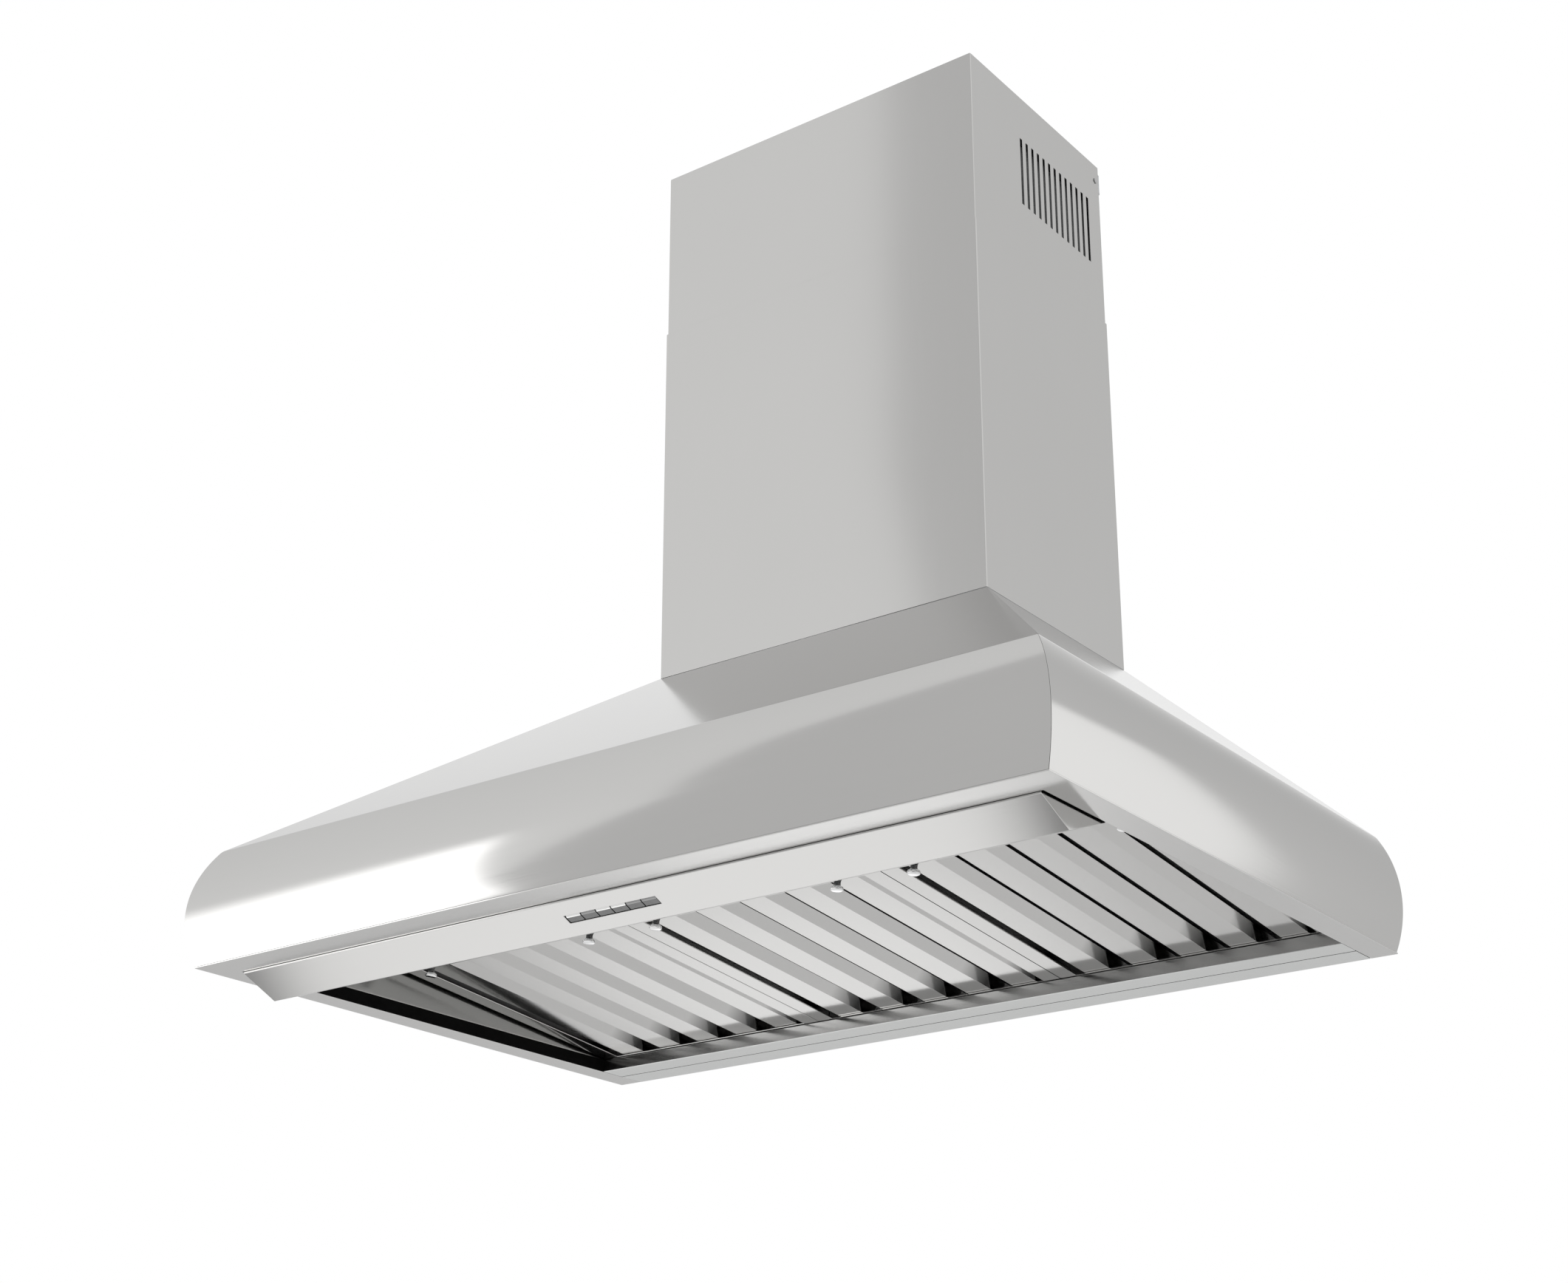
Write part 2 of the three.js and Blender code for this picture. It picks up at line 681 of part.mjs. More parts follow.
// Side plate of the blower's housing, with a round hole on the wheel's axis.
function blowerSide(from, to, hole) {
  const opening = rod(SCROLL.y, SCROLL.z, hole, "x", from - 1, to + 1, 14);
  return extrude(scrollOutline(SHEET), "x", from, to).subtract(opening);
}

// Strip that closes the spiral between the side plates and rises to the outlet.
function blowerScroll() {
  const half = SCROLL.half - GAP;
  const across = [-half - 1, half + 1];
  const outer = extrude(scrollOutline(SHEET), "x", -half, half);
  const inner = extrude(scrollOutline(0), "x", ...across);
  const outlet = box(across, [OUTLET.front, OUTLET.rear], [OUTLET.top - 5, OUTLET.top + 1]);
  return outer.subtract(inner).subtract(outlet);
}

// Plate round the outlet's neck, by which the blower rests on the top plate.
function blowerMountingPlate() {
  const z = CANOPY_TOP - TOP_PLATE_DROP + SHEET + GAP;
  const side = SCROLL.half + SHEET + GAP;
  const edge = SCROLL.half + 14;
  const plate = box([-edge, edge], BLOWER_PLATE, [z, z + SHEET]);
  const neck = [OUTLET.front - SHEET - GAP, OUTLET.rear + SHEET + GAP];
  return plate.subtract(box([-side, side], neck, [z - 1, z + SHEET + 1]));
}

// Bell mouth on the inlet side.
function inletRing() {
  const { y, z, half } = SCROLL;
  const face = -half - SHEET - GAP;
  const flange = rod(y, z, 78, "x", face - 2, face, 14);
  const throat = rod(y, z, 65.4, "x", face - 1, -half + 5, 14);
  return flange.add(throat).subtract(rod(y, z, 63.6, "x", face - 3, -half + 6, 14));
}

function impeller() {
  const { y, z } = SCROLL;
  const { radius, inner, half, blades } = WHEEL;
  const backPlate = rod(y, z, radius, "x", half - 2, half, 20);
  const rimDisc = rod(y, z, radius, "x", -half, -half + 3, 20);
  const rim = rimDisc.subtract(rod(y, z, inner, "x", -half - 1, -half + 4, 20));
  const hub = rod(y, z, 13, "x", half - 26, half, 8);
  const vanes = [...Array(blades).keys()].map((i) => vane((2 * Math.PI * i) / blades));
  const bore = rod(y, z, SHAFT_RADIUS + GAP, "x", half - 40, half + 1, 8);
  return join([backPlate, rim, hub, ...vanes]).subtract(bore);
}

// A leaning blade; turn is its angle round the wheel.
function vane(turn) {
  const { radius, inner, half } = WHEEL;
  const at = (r, a) => [SCROLL.y + r * Math.cos(a), SCROLL.z + r * Math.sin(a)];
  const lean = turn + 0.16;
  const step = 0.02;
  const tip = radius - 0.6;
  const outline = [at(inner, turn - step), at(tip, lean - step), at(tip, lean), at(inner, turn)];
  return extrude(outline, "x", -half + 1, half - 1);
}

const motorPlate = { from: SCROLL.half + SHEET + GAP, to: SCROLL.half + SHEET + GAP + 2 };
const motorEnd = 118;

function motorMount() {
  const { y, z } = SCROLL;
  const arm = 74;
  const wide = 22;
  const x = [motorPlate.from, motorPlate.to];
  const level = box(x, [y - arm, y + arm], [z - wide, z + wide]);
  const upright = box(x, [y - wide, y + wide], [z - arm, z + arm]);
  const bore = rod(y, z, SHAFT_RADIUS + 2, "x", x[0] - 1, x[1] + 1, 8);
  return level.add(upright).subtract(bore);
}

function motor() {
  const { y, z } = SCROLL;
  const from = motorPlate.to + GAP;
  const body = rod(y, z, 44, "x", from + 6, motorEnd - 10, 14);
  const ends = rod(y, z, 36, "x", from, motorEnd, 14);
  const bore = rod(y, z, SHAFT_RADIUS + GAP, "x", from - 1, motorEnd + 1, 8);
  return body.add(ends).subtract(bore);
}

function motorShaft() {
  return rod(SCROLL.y, SCROLL.z, SHAFT_RADIUS, "x", WHEEL.half - 30, motorEnd + 6, 8);
}

// Round duct collar on a square plate, with two holes for the damper's pin.
function ductCollar() {
  const { y, radius, wall, top } = COLLAR;
  const bottom = OUTLET.top + GAP;
  const edge = radius + 3;
  const plate = box([-edge, edge], [y - edge, y + edge], [bottom, bottom + SHEET]);
  const through = [bottom - 1, bottom + SHEET + 1];
  const throat = box([-SCROLL.half, SCROLL.half], [OUTLET.front, OUTLET.rear], through);
  const pipe = rod(0, y, radius, "z", bottom, top, 20);
  const bore = rod(0, y, radius - wall, "z", bottom + SHEET, top + 1, 20);
  const pinHole = rod(y, DAMPER.z, DAMPER.pin + GAP, "x", -radius - 1, radius + 1, 6);
  return plate.add(pipe).subtract(bore).subtract(throat).subtract(pinHole);
}

// Half-disc flap that hangs on the pin by two knuckles; side is +1 for the wall side.
function damperFlap(side) {
  const { z, pin, root, radius } = DAMPER;
  const y = COLLAR.y;
  const whole = rod(0, y, radius, "z", z - 0.5, z + 0.5, 16);
  const far = ordered(y + side * root, y + side * (radius + 5));
  const half = whole.intersect(box([-radius - 5, radius + 5], far, [z - 5, z + 5]));
  const middles = side > 0 ? [-45, 45] : [-25, 25];
  const pieces = middles.map((x) => {
    const tab = ordered(y + side * (pin + 0.8), y + side * (root + 4));
    const barrel = rod(y, z, pin + 1.3, "x", x - 6, x + 6, 6);
    return barrel.add(box([x - 6, x + 6], tab, [z - 0.5, z + 0.5]));
  });
  const bore = rod(y, z, pin + GAP, "x", -radius - 5, radius + 5, 6);
  return half.add(join(pieces)).subtract(bore);
}

function damperPin() {
  return rod(COLLAR.y, DAMPER.z, DAMPER.pin, "x", -COLLAR.radius - 2, COLLAR.radius + 2, 6);
}

// ---------------------------------------------------------------- electrics

function electricalBox() {
  const { x, y, z, sheet } = WIRING_BOX;
  const outer = box(x, y, z);
  const inner = box([x[0] + sheet, x[1] - sheet], [y[0] - 1, y[1] - sheet], [z[0] + sheet, z[1] - sheet]);
  const glandHole = rod(GLAND.x, GLAND.y, 8.3, "z", z[1] - 3, z[1] + 1, 8);
  return outer.subtract(inner).subtract(glandHole);
}

function electricalCover() {
  const { x, y, z, sheet } = WIRING_BOX;
  const back = y[0] - GAP;
  return box([x[0] - 1, x[1] + 1], [back - sheet, back], [z[0] - 1, z[1] + 1]);
}

// Strain relief for the mains lead, on top of the electrical box.
function cableGland() {
  const z = WIRING_BOX.z[1];
  const profile = [
    [4, z - 6],
    [8, z - 6],
    [8, z + GAP],
    [11, z + GAP],
    [11, z + 5],
    [9, z + 6],
    [8, z + 16],
    [4, z + 18],
    [4, z - 6],
  ];
  return turned(profile, GLAND.x, GLAND.y, 16);
}

function capacitor() {
  const bottom = WIRING_BOX.z[0] + 5;
  return rod(GLAND.x, GLAND.y, 15, "z", bottom, bottom + 57, 10);
}

// ---------------------------------------------------------------- assembly

const hood = new THREE.Group();
hood.position.z = -ORIGIN_HEIGHT;

addPart(hood, "canopy_front_panel", canopyFront(), STAINLESS);
addPart(hood, "canopy_left_panel", canopySide(-1), STAINLESS);
addPart(hood, "canopy_right_panel", canopySide(1), STAINLESS);
addPart(hood, "canopy_back_panel", canopyBack(), GALVANISED);
addPart(hood, "canopy_top_plate", canopyTop(), GALVANISED);
addPart(hood, "rim_frame", rimFrame(), STAINLESS);
addPart(hood, "rear_grease_rail", rearRail(), STAINLESS);
addPart(hood, "side_liner_left", sideWall(-1), STAINLESS);
addPart(hood, "side_liner_right", sideWall(1), STAINLESS);
addPart(hood, "control_fascia", controlFascia(), STAINLESS);
hood.add(makeControls());
hood.add(makeLamps());
hood.add(makeFrontRail());
for (let number = 1; number <= 3; number++) hood.add(makeFilter(number));

addPart(hood, "chimney_lower_cover", lowerCover(), STAINLESS);
addPart(hood, "chimney_upper_cover", upperCover(), STAINLESS);
addPart(hood, "vent_cap_left", ventCap(-1), BLACK_PLASTIC);
addPart(hood, "vent_cap_right", ventCap(1), BLACK_PLASTIC);
addPart(hood, "upper_wall_bracket", wallBracket(), GALVANISED);
addPart(hood, "cover_screw_left", coverScrew(-1), CHROME);
addPart(hood, "cover_screw_right", coverScrew(1), CHROME);

addPart(hood, "blower_inlet_side", blowerSide(-SCROLL.half - SHEET, -SCROLL.half, 66), GALVANISED);
addPart(hood, "blower_motor_side", blowerSide(SCROLL.half, SCROLL.half + SHEET, 30), GALVANISED);
addPart(hood, "blower_scroll", blowerScroll(), GALVANISED);
addPart(hood, "blower_mounting_plate", blowerMountingPlate(), GALVANISED);
addPart(hood, "blower_inlet_ring", inletRing(), GALVANISED);
addPart(hood, "blower_wheel", impeller(), DARK_PLASTIC);
addPart(hood, "motor_mount", motorMount(), GALVANISED);
addPart(hood, "motor", motor(), MOTOR_PAINT);
addPart(hood, "motor_shaft", motorShaft(), CHROME);
addPart(hood, "duct_collar", ductCollar(), DARK_PLASTIC);
addPart(hood, "damper_flap_rear", damperFlap(1), DARK_PLASTIC);
addPart(hood, "damper_flap_front", damperFlap(-1), DARK_PLASTIC);
addPart(hood, "damper_pin", damperPin(), CHROME);

addPart(hood, "electrical_box", electricalBox(), GALVANISED);
addPart(hood, "electrical_box_cover", electricalCover(), GALVANISED);
addPart(hood, "cable_gland", cableGland(), BLACK_PLASTIC);
addPart(hood, "motor_capacitor", capacitor(), LENS);

export default hood;
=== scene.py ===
import json
import math

import bmesh
import bpy
from mathutils import Matrix, Vector

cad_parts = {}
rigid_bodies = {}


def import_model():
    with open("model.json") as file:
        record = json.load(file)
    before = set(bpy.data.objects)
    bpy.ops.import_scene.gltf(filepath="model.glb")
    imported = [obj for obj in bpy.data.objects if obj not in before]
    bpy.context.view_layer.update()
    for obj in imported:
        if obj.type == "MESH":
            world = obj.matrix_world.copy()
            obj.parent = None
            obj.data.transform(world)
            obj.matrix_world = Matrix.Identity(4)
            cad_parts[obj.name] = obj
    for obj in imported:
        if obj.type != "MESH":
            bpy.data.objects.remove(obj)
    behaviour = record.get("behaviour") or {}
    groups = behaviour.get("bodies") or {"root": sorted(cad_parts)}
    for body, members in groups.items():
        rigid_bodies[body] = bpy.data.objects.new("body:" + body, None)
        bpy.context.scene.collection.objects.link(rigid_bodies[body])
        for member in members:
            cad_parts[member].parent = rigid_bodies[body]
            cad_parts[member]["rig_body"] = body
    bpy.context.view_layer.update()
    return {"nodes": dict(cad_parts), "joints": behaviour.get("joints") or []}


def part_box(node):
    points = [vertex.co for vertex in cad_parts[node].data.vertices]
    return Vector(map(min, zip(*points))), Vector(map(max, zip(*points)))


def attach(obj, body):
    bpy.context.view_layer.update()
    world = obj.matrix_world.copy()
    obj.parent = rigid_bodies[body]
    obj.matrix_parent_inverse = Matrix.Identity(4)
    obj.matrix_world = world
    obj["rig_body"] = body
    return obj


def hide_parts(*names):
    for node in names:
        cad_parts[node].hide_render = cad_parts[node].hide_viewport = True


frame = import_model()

NODES = frame["nodes"]
JOINTS = {joint["name"]: joint for joint in frame["joints"]}

# ---------------------------------------------------------------- measures, in metres

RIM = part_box("rim_frame")
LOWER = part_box("chimney_lower_cover")
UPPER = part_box("chimney_upper_cover")
CANOPY_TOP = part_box("canopy_front_panel")[1].z
BASE = RIM[0].z

SKIN_SHEET = 0.0012
CURVE_RADIUS = 0.1134
CURVE_INSET = 0.105
CURVE_HEIGHT = 0.047
SKIRT_TOP = 0.1117
SKIRT_BOTTOM = 0.0015
CREASE = 0.0022
MITRE_GAP = 0.0004

COVER_SHEET = 0.0009
COVER_BEND = 0.0018
VENT_COUNT = 13
VENT_FIRST = -0.1636
VENT_PITCH = 0.0111
VENT_WIDTH = 0.0046
VENT_HEIGHT = (0.5844, 0.6613)

FILTER_TILT = math.radians(5.775)
KNOB_X = 0.1004
KNOB_ALONG = -0.3094

FACE_ANGLE = math.atan2(18.0, 38.9)
KEY_COUNT = 6
KEY_PITCH = 0.0162
KEY_ORIGIN = (0, -0.569, BASE - 0.0016)  # of the axes that lie in the face of the fascia
KEY_TOP = 0.0173  # upper edge of the keys, down the fascia's face
KEY_BAND = 0.003  # strip along a key's upper edge: a painted highlight on some keys, a painted grey reflection on the others
KEY_BAND_DEPTH = 0.0015
KEY_CENTRE = 0.0061  # from a key's upper edge to its symbol
KEY_FACE = 0.00057
KEYS_WITH_PAINTED_HIGHLIGHT = (1, 3, 4)
MARK_LINE = 0.00012
MARK_HEIGHT = 0.0001

RIM_LIP = 0.0132
LINER_GAP = 0.0003
HEM_LIFT = 0.0002
HEM_HEIGHT = 0.0009
FOOT_HEIGHT = 0.01  # faces below it belong to the rail's or the back panel's foot
FOOT_EDGE_Y = -0.03
FOOT_TRIM = 0.0006  # widens the line between the rail and the foot
UPPER_ROW = 0.0089  # height in a filter above which only the upper baffles have faces
OUTER_BAFFLE = 0.112
KNOB_NECK = (-0.0095, -0.001)

LAMP_ANGLE = math.atan2(44.0, 84.5)
LAMP_ORIGIN = (0, -0.4749, BASE + 0.0016)
LAMP_X = 0.25
LAMP_ALONG = 0.5 * math.hypot(0.044, 0.0845)

# ---------------------------------------------------------------- materials


class Nodes:
    """Short names for building one material's node tree, laid out in object coordinates."""

    def __init__(self, name):
        self.material = bpy.data.materials.new(name)
        self.material.use_nodes = True
        self.tree = self.material.node_tree
        self.shader = self.tree.nodes["Principled BSDF"]
        coordinates = self.tree.nodes.new("ShaderNodeTexCoord")
        self.place = coordinates.outputs["Object"]

    def link(self, source, target):
        self.tree.links.new(source, target)

    def noise(self, scale, detail=3.0, rough=0.5, stretch=(1, 1, 1)):
        mapping = self.tree.nodes.new("ShaderNodeMapping")
        mapping.inputs["Scale"].default_value = stretch
        self.link(self.place, mapping.inputs["Vector"])
        node = self.tree.nodes.new("ShaderNodeTexNoise")
        node.inputs["Scale"].default_value = scale
        node.inputs["Detail"].default_value = detail
        node.inputs["Roughness"].default_value = rough
        self.link(mapping.outputs["Vector"], node.inputs["Vector"])
        return node.outputs["Fac"]

    def cells(self, scale, output="Color"):
        node = self.tree.nodes.new("ShaderNodeTexVoronoi")
        node.inputs["Scale"].default_value = scale
        self.link(self.place, node.inputs["Vector"])
        return node.outputs[output]

    def span(self, value, low, high, from_low=0.3, from_high=0.7):
        node = self.tree.nodes.new("ShaderNodeMapRange")
        node.inputs["From Min"].default_value = from_low
        node.inputs["From Max"].default_value = from_high
        node.inputs["To Min"].default_value = low
        node.inputs["To Max"].default_value = high
        self.link(value, node.inputs["Value"])
        return node.outputs["Result"]

    def add(self, a, b, operation="ADD"):
        node = self.tree.nodes.new("ShaderNodeMath")
        node.operation = operation
        self.link(a, node.inputs[0])
        self.link(b, node.inputs[1])
        return node.outputs["Value"]

    def ramp(self, value, low, high, from_low=0.3, from_high=0.7):
        node = self.tree.nodes.new("ShaderNodeValToRGB")
        node.color_ramp.elements[0].position = from_low
        node.color_ramp.elements[0].color = (*low, 1)
        node.color_ramp.elements[1].position = from_high
        node.color_ramp.elements[1].color = (*high, 1)
        self.link(value, node.inputs["Fac"])
        return node.outputs["Color"]

    def bump(self, height, strength, distance):
        node = self.tree.nodes.new("ShaderNodeBump")
        node.inputs["Strength"].default_value = strength
        node.inputs["Distance"].default_value = distance
        self.link(height, node.inputs["Height"])
        self.link(node.outputs["Normal"], self.shader.inputs["Normal"])

    def painted_shade_along_y(self, colour, start, end, level):
        """Painted shade: darkens a colour along y, from all of it at start to a share of it at end."""
        split = self.tree.nodes.new("ShaderNodeSeparateXYZ")
        self.link(self.place, split.inputs[0])
        scaled = self.tree.nodes.new("ShaderNodeVectorMath")
        scaled.operation = "SCALE"
        self.link(colour, scaled.inputs[0])
        self.link(self.span(split.outputs["Y"], 1.0, level, start, end), scaled.inputs["Scale"])
        return scaled.outputs["Vector"]

    def set(self, **values):
        for name, value in values.items():
            self.shader.inputs[name.replace("_", " ")].default_value = value
        return self


GRAIN_STRETCH = {"x": (1, 160, 160), "y": (160, 1, 160), "z": (160, 160, 1)}


def steel(name, tone, rough, grain, streak=0.02, spread=0.04, depth=0.08, fade=None):
    """Satin stainless sheet: fine brushed streaks along one axis over a faint cloudy drift; fade adds
    painted shade along y.
    """
    n = Nodes(name).set(Metallic=1.0, Specular_Tint=(0.8, 0.8, 0.8, 1))
    streaks = n.noise(9.0, 4.0, 0.65, GRAIN_STRETCH[grain])
    clouds = n.noise(5.0, 2.0)
    mixed = n.add(streaks, clouds, "MULTIPLY")
    dark = tuple(c * (1 - streak) for c in tone)
    colour = n.ramp(mixed, dark, tone, 0.12, 0.38)
    n.link(n.painted_shade_along_y(colour, *fade) if fade else colour, n.shader.inputs["Base Color"])
    n.link(n.span(streaks, rough - spread, rough + spread), n.shader.inputs["Roughness"])
    n.bump(streaks, depth, 0.00002)
    return n.material


def polished(name, tone, rough):
    """Polished or plated metal with faint smears."""
    n = Nodes(name).set(Metallic=1.0)
    smears = n.noise(60.0, 3.0)
    n.link(n.ramp(smears, tuple(c * 0.96 for c in tone), tone), n.shader.inputs["Base Color"])
    n.link(n.span(smears, rough * 0.6, rough * 1.5), n.shader.inputs["Roughness"])
    return n.material


def zinc(name):
    """Galvanised sheet with its crystal spangle."""
    n = Nodes(name).set(Metallic=1.0)
    spangle = n.cells(110.0)
    dust = n.noise(400.0, 3.0)
    colour = n.ramp(spangle, (0.42, 0.44, 0.46), (0.62, 0.64, 0.66), 0.1, 0.9)
    n.link(colour, n.shader.inputs["Base Color"])
    n.link(n.span(spangle, 0.36, 0.55, 0.0, 1.0), n.shader.inputs["Roughness"])
    n.bump(dust, 0.1, 0.0001)
    return n.material


def plastic(name, dark, light, rough, grain_scale=900.0, depth=0.15, gloss=0.5):
    """Moulded plastic, rubber or enamel with a fine grain."""
    n = Nodes(name).set(Specular_IOR_Level=gloss)
    grain = n.noise(grain_scale, 3.0)
    drift = n.noise(25.0, 2.0)
    n.link(n.ramp(drift, dark, light), n.shader.inputs["Base Color"])
    n.link(n.span(grain, rough - 0.06, rough + 0.08), n.shader.inputs["Roughness"])
    n.bump(grain, depth, 0.00008)
    return n.material


def circuit(name):
    """Green circuit board with its tracks."""
    n = Nodes(name)
    tracks = n.cells(450.0, "Distance")
    colour = n.ramp(tracks, (0.02, 0.12, 0.06), (0.05, 0.24, 0.12), 0.1, 0.5)
    n.link(colour, n.shader.inputs["Base Color"])
    n.link(n.span(tracks, 0.3, 0.5, 0.0, 1.0), n.shader.inputs["Roughness"])
    return n.material


def frosted(name):
    """Frosted lamp cover, with small prisms pressed into it."""
    n = Nodes(name).set(Coat_Weight=0.4, Coat_Roughness=0.1)
    prisms = n.cells(500.0, "Distance")
    colour = n.ramp(prisms, (0.86, 0.87, 0.86), (0.95, 0.95, 0.93), 0.0, 0.6)
    n.link(colour, n.shader.inputs["Base Color"])
    n.link(n.span(prisms, 0.18, 0.34, 0.0, 1.0), n.shader.inputs["Roughness"])
    n.bump(prisms, 0.25, 0.0004)
    return n.material


STEEL_TONE = (0.65, 0.645, 0.635)
FINE = (0.015, 0.015, 0.03)  # streaks in colour, spread of roughness, depth of the grain
SATIN = (0.015, 0.02, 0.03)
LEG_PAINTED_SHADE = (-0.118, -0.075, 0.12)  # painted shade: the baffles' legs darken between these two y, to this share

# The record's slots, and among them the further finishes, painted light and painted shade that some
# faces are given
MATERIALS = {
    "stainless_skin": steel("steel_skin", STEEL_TONE, 0.13, "x", *FINE),
    "stainless_side": steel("steel_side", STEEL_TONE, 0.13, "y", *FINE),
    "stainless_chimney": steel("steel_chimney", STEEL_TONE, 0.13, "z", *FINE),
    "stainless_rim": steel("steel_rim", (0.74, 0.735, 0.725), 0.14, "x", *SATIN),
    "stainless_fascia": steel("steel_fascia", STEEL_TONE, 0.16, "x", 0.01, 0.015, 0.03),
    "stainless_liner": steel("steel_liner", STEEL_TONE, 0.18, "y"),
    "filter_stainless": steel("steel_filter", STEEL_TONE, 0.12, "y", *SATIN),
    # painted light: a lighter tone of the same steel for the covers' sides
    "cheek_painted_light": steel("cheek_painted_light", (0.69, 0.685, 0.675), 0.13, "z", *FINE),
    "steel_foot": steel("steel_foot", (0.83, 0.84, 0.83), 0.14, "x", *SATIN),
    # painted shade: the baffles' legs darken towards their rear ends
    "steel_leg_painted_shade": steel("steel_leg_painted_shade", STEEL_TONE, 0.12, "y", *SATIN, fade=LEG_PAINTED_SHADE),
    # painted shade: a darker, rougher steel for the upper baffles
    "steel_upper_painted_shade": steel("steel_upper_painted_shade", (0.62, 0.62, 0.61), 0.3, "y"),
    # painted shade: a darker steel for the rail's front face
    "steel_rail_painted_shade": steel("steel_rail_painted_shade", (0.45, 0.45, 0.445), 0.16, "x"),
    # painted shade: a darker steel for the side liners inside the hood
    "dark_liner_painted_shade": steel("dark_liner_painted_shade", (0.44, 0.44, 0.43), 0.2, "y"),
    # painted shade: near-black steel for faces that lie in shade
    "steel_painted_black_shade": steel("steel_painted_black_shade", (0.05, 0.05, 0.05), 0.3, "y"),
    # painted shade: near-black plastic for faces that lie in shade
    "near_black_painted_shade": plastic("near_black_painted_shade", (0.002,) * 3, (0.003,) * 3, 0.6, gloss=0.05),
    # painted light and shade: grey for the caps' faces towards the slots, beside their near-black walls
    "cap_painted_light_grey": plastic("cap_painted_light_grey", (0.13, 0.135, 0.135), (0.17, 0.175, 0.175), 0.5),
    # painted reflection: a dark chrome for a band of the knobs' necks
    "knob_painted_shade": polished("knob_painted_shade", (0.13, 0.13, 0.13), 0.1),
    "knob_chrome": polished("chrome_knob", (0.86, 0.86, 0.86), 0.06),
    "lamp_chrome": polished("chrome_lamp", (0.84, 0.84, 0.84), 0.1),
    "lamp_glass": frosted("lamp_frosted"),
    "galvanised": zinc("zinc_sheet"),
    "screw_steel": polished("screw_zinc", (0.6, 0.6, 0.6), 0.22),
    "black_plastic": plastic("black_moulded", (0.012, 0.012, 0.013), (0.02, 0.02, 0.021), 0.42),
    "key_grey": steel("key_face", (0.19, 0.19, 0.19), 0.24, "x"),
    # painted highlight and painted grey reflection for the strip along a key's upper edge
    "key_painted_highlight": steel("key_painted_highlight", (0.95, 0.95, 0.94), 0.12, "x"),
    "key_painted_grey_reflection": steel("key_painted_grey_reflection", (0.36, 0.36, 0.36), 0.2, "x"),
    "key_mark": plastic("key_mark", (0.20, 0.20, 0.20), (0.26, 0.26, 0.26), 0.45),
    "circuit_board": circuit("circuit_green"),
    "wheel_black": plastic("dark_moulded", (0.03, 0.031, 0.033), (0.045, 0.046, 0.05), 0.5),
    "motor_paint": plastic("motor_enamel", (0.07, 0.075, 0.08), (0.09, 0.095, 0.1), 0.35, 250.0, 0.3),
    "capacitor_white": plastic("white_moulded", (0.74, 0.74, 0.72), (0.82, 0.82, 0.8), 0.35),
}

# ---------------------------------------------------------------- making pieces


def piece(
    name, bm, slot, replaced, bevel=0.0, segments=2, smooth=32, finish=None, angle=25, body=None
):
    """Turns a bmesh into a piece that stands for CAD nodes and rides on their body."""
    bmesh.ops.recalc_face_normals(bm, faces=bm.faces)
    mesh = bpy.data.meshes.new(name)
    bm.to_mesh(mesh)
    bm.free()
    obj = bpy.data.objects.new(name, mesh)
    bpy.context.scene.collection.objects.link(obj)
    mesh.materials.append(MATERIALS[finish or slot])
    for polygon in mesh.polygons:
        polygon.use_smooth = True
    if bevel:
        rounding = obj.modifiers.new("rounding", "BEVEL")
        rounding.width = bevel
        rounding.segments = segments
        rounding.limit_method = "ANGLE"
        rounding.angle_limit = math.radians(angle)
        rounding.use_clamp_overlap = True
        rounding.harden_normals = False
        shading = obj.modifiers.new("shading", "WEIGHTED_NORMAL")
        shading.keep_sharp = True
    else:
        mesh.set_sharp_from_angle(angle=math.radians(smooth))
    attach(obj, body or NODES[replaced[0]]["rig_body"])
    if replaced:
        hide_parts(*replaced)
    return obj


def retone(obj, finish, test):
    """Gives a second finish to the faces that pass a test of their middle and normal; most of its uses
    give painted light or painted shade.
    """
    obj.data.materials.append(MATERIALS[finish])
    for polygon in obj.data.polygons:
        if test(polygon.center, polygon.normal):
            polygon.material_index = len(obj.data.materials) - 1


def clean_copy(node):
    """The CAD node's own shape, welded, with its flat faces whole."""
    bm = bmesh.new()
    bm.from_mesh(NODES[node].data)
    bmesh.ops.remove_doubles(bm, verts=bm.verts, dist=2e-6)
    flat = math.radians(0.5)
    bmesh.ops.dissolve_limit(bm, angle_limit=flat, verts=bm.verts, edges=bm.edges)
    return bm


def refined(node, slot, bevel=0.0, segments=2, finish=None):
    """A piece with the CAD node's own shape, its edges rounded."""
    return piece(f"{node}_v", clean_copy(node), slot, [node], bevel, segments, finish=finish)


def shell(rows):
    """A closed sheet from rows of (outer start, outer end, inner start, inner end)."""
    bm = bmesh.new()
    made = [[bm.verts.new(point) for point in row] for row in rows]
    for low, high in zip(made, made[1:]):
        for a, b in ((0, 1), (1, 3), (3, 2), (2, 0)):
            bm.faces.new((low[a], low[b], high[b], high[a]))
    for row in (made[0], made[-1]):
        bm.faces.new((row[0], row[1], row[3], row[2]))
    return bm


def lathe(profile, matrix, segments=40):
    """A solid of revolution about the matrix's z axis; the profile holds (radius, height)."""
    bm = bmesh.new()
    rings = []
    for radius, height in profile:
        if radius < 1e-7:
            rings.append([bm.verts.new(matrix @ Vector((0, 0, height)))])
            continue
        turns = [2 * math.pi * i / segments for i in range(segments)]
        points = [Vector((radius * math.cos(t), radius * math.sin(t), height)) for t in turns]
        rings.append([bm.verts.new(matrix @ point) for point in points])
    closed = profile[0] == profile[-1]
    if closed:
        for vertex in rings.pop():
            bm.verts.remove(vertex)
        rings.append(rings[0])
    for low, high in zip(rings, rings[1:]):
        for i in range(segments):
            j = (i + 1) % segments
            corners = [low[i % len(low)], low[j % len(low)], high[j % len(high)], high[i % len(high)]]
            unique = list(dict.fromkeys(corners))
            if len(unique) > 2:
                bm.faces.new(unique)
    return bm


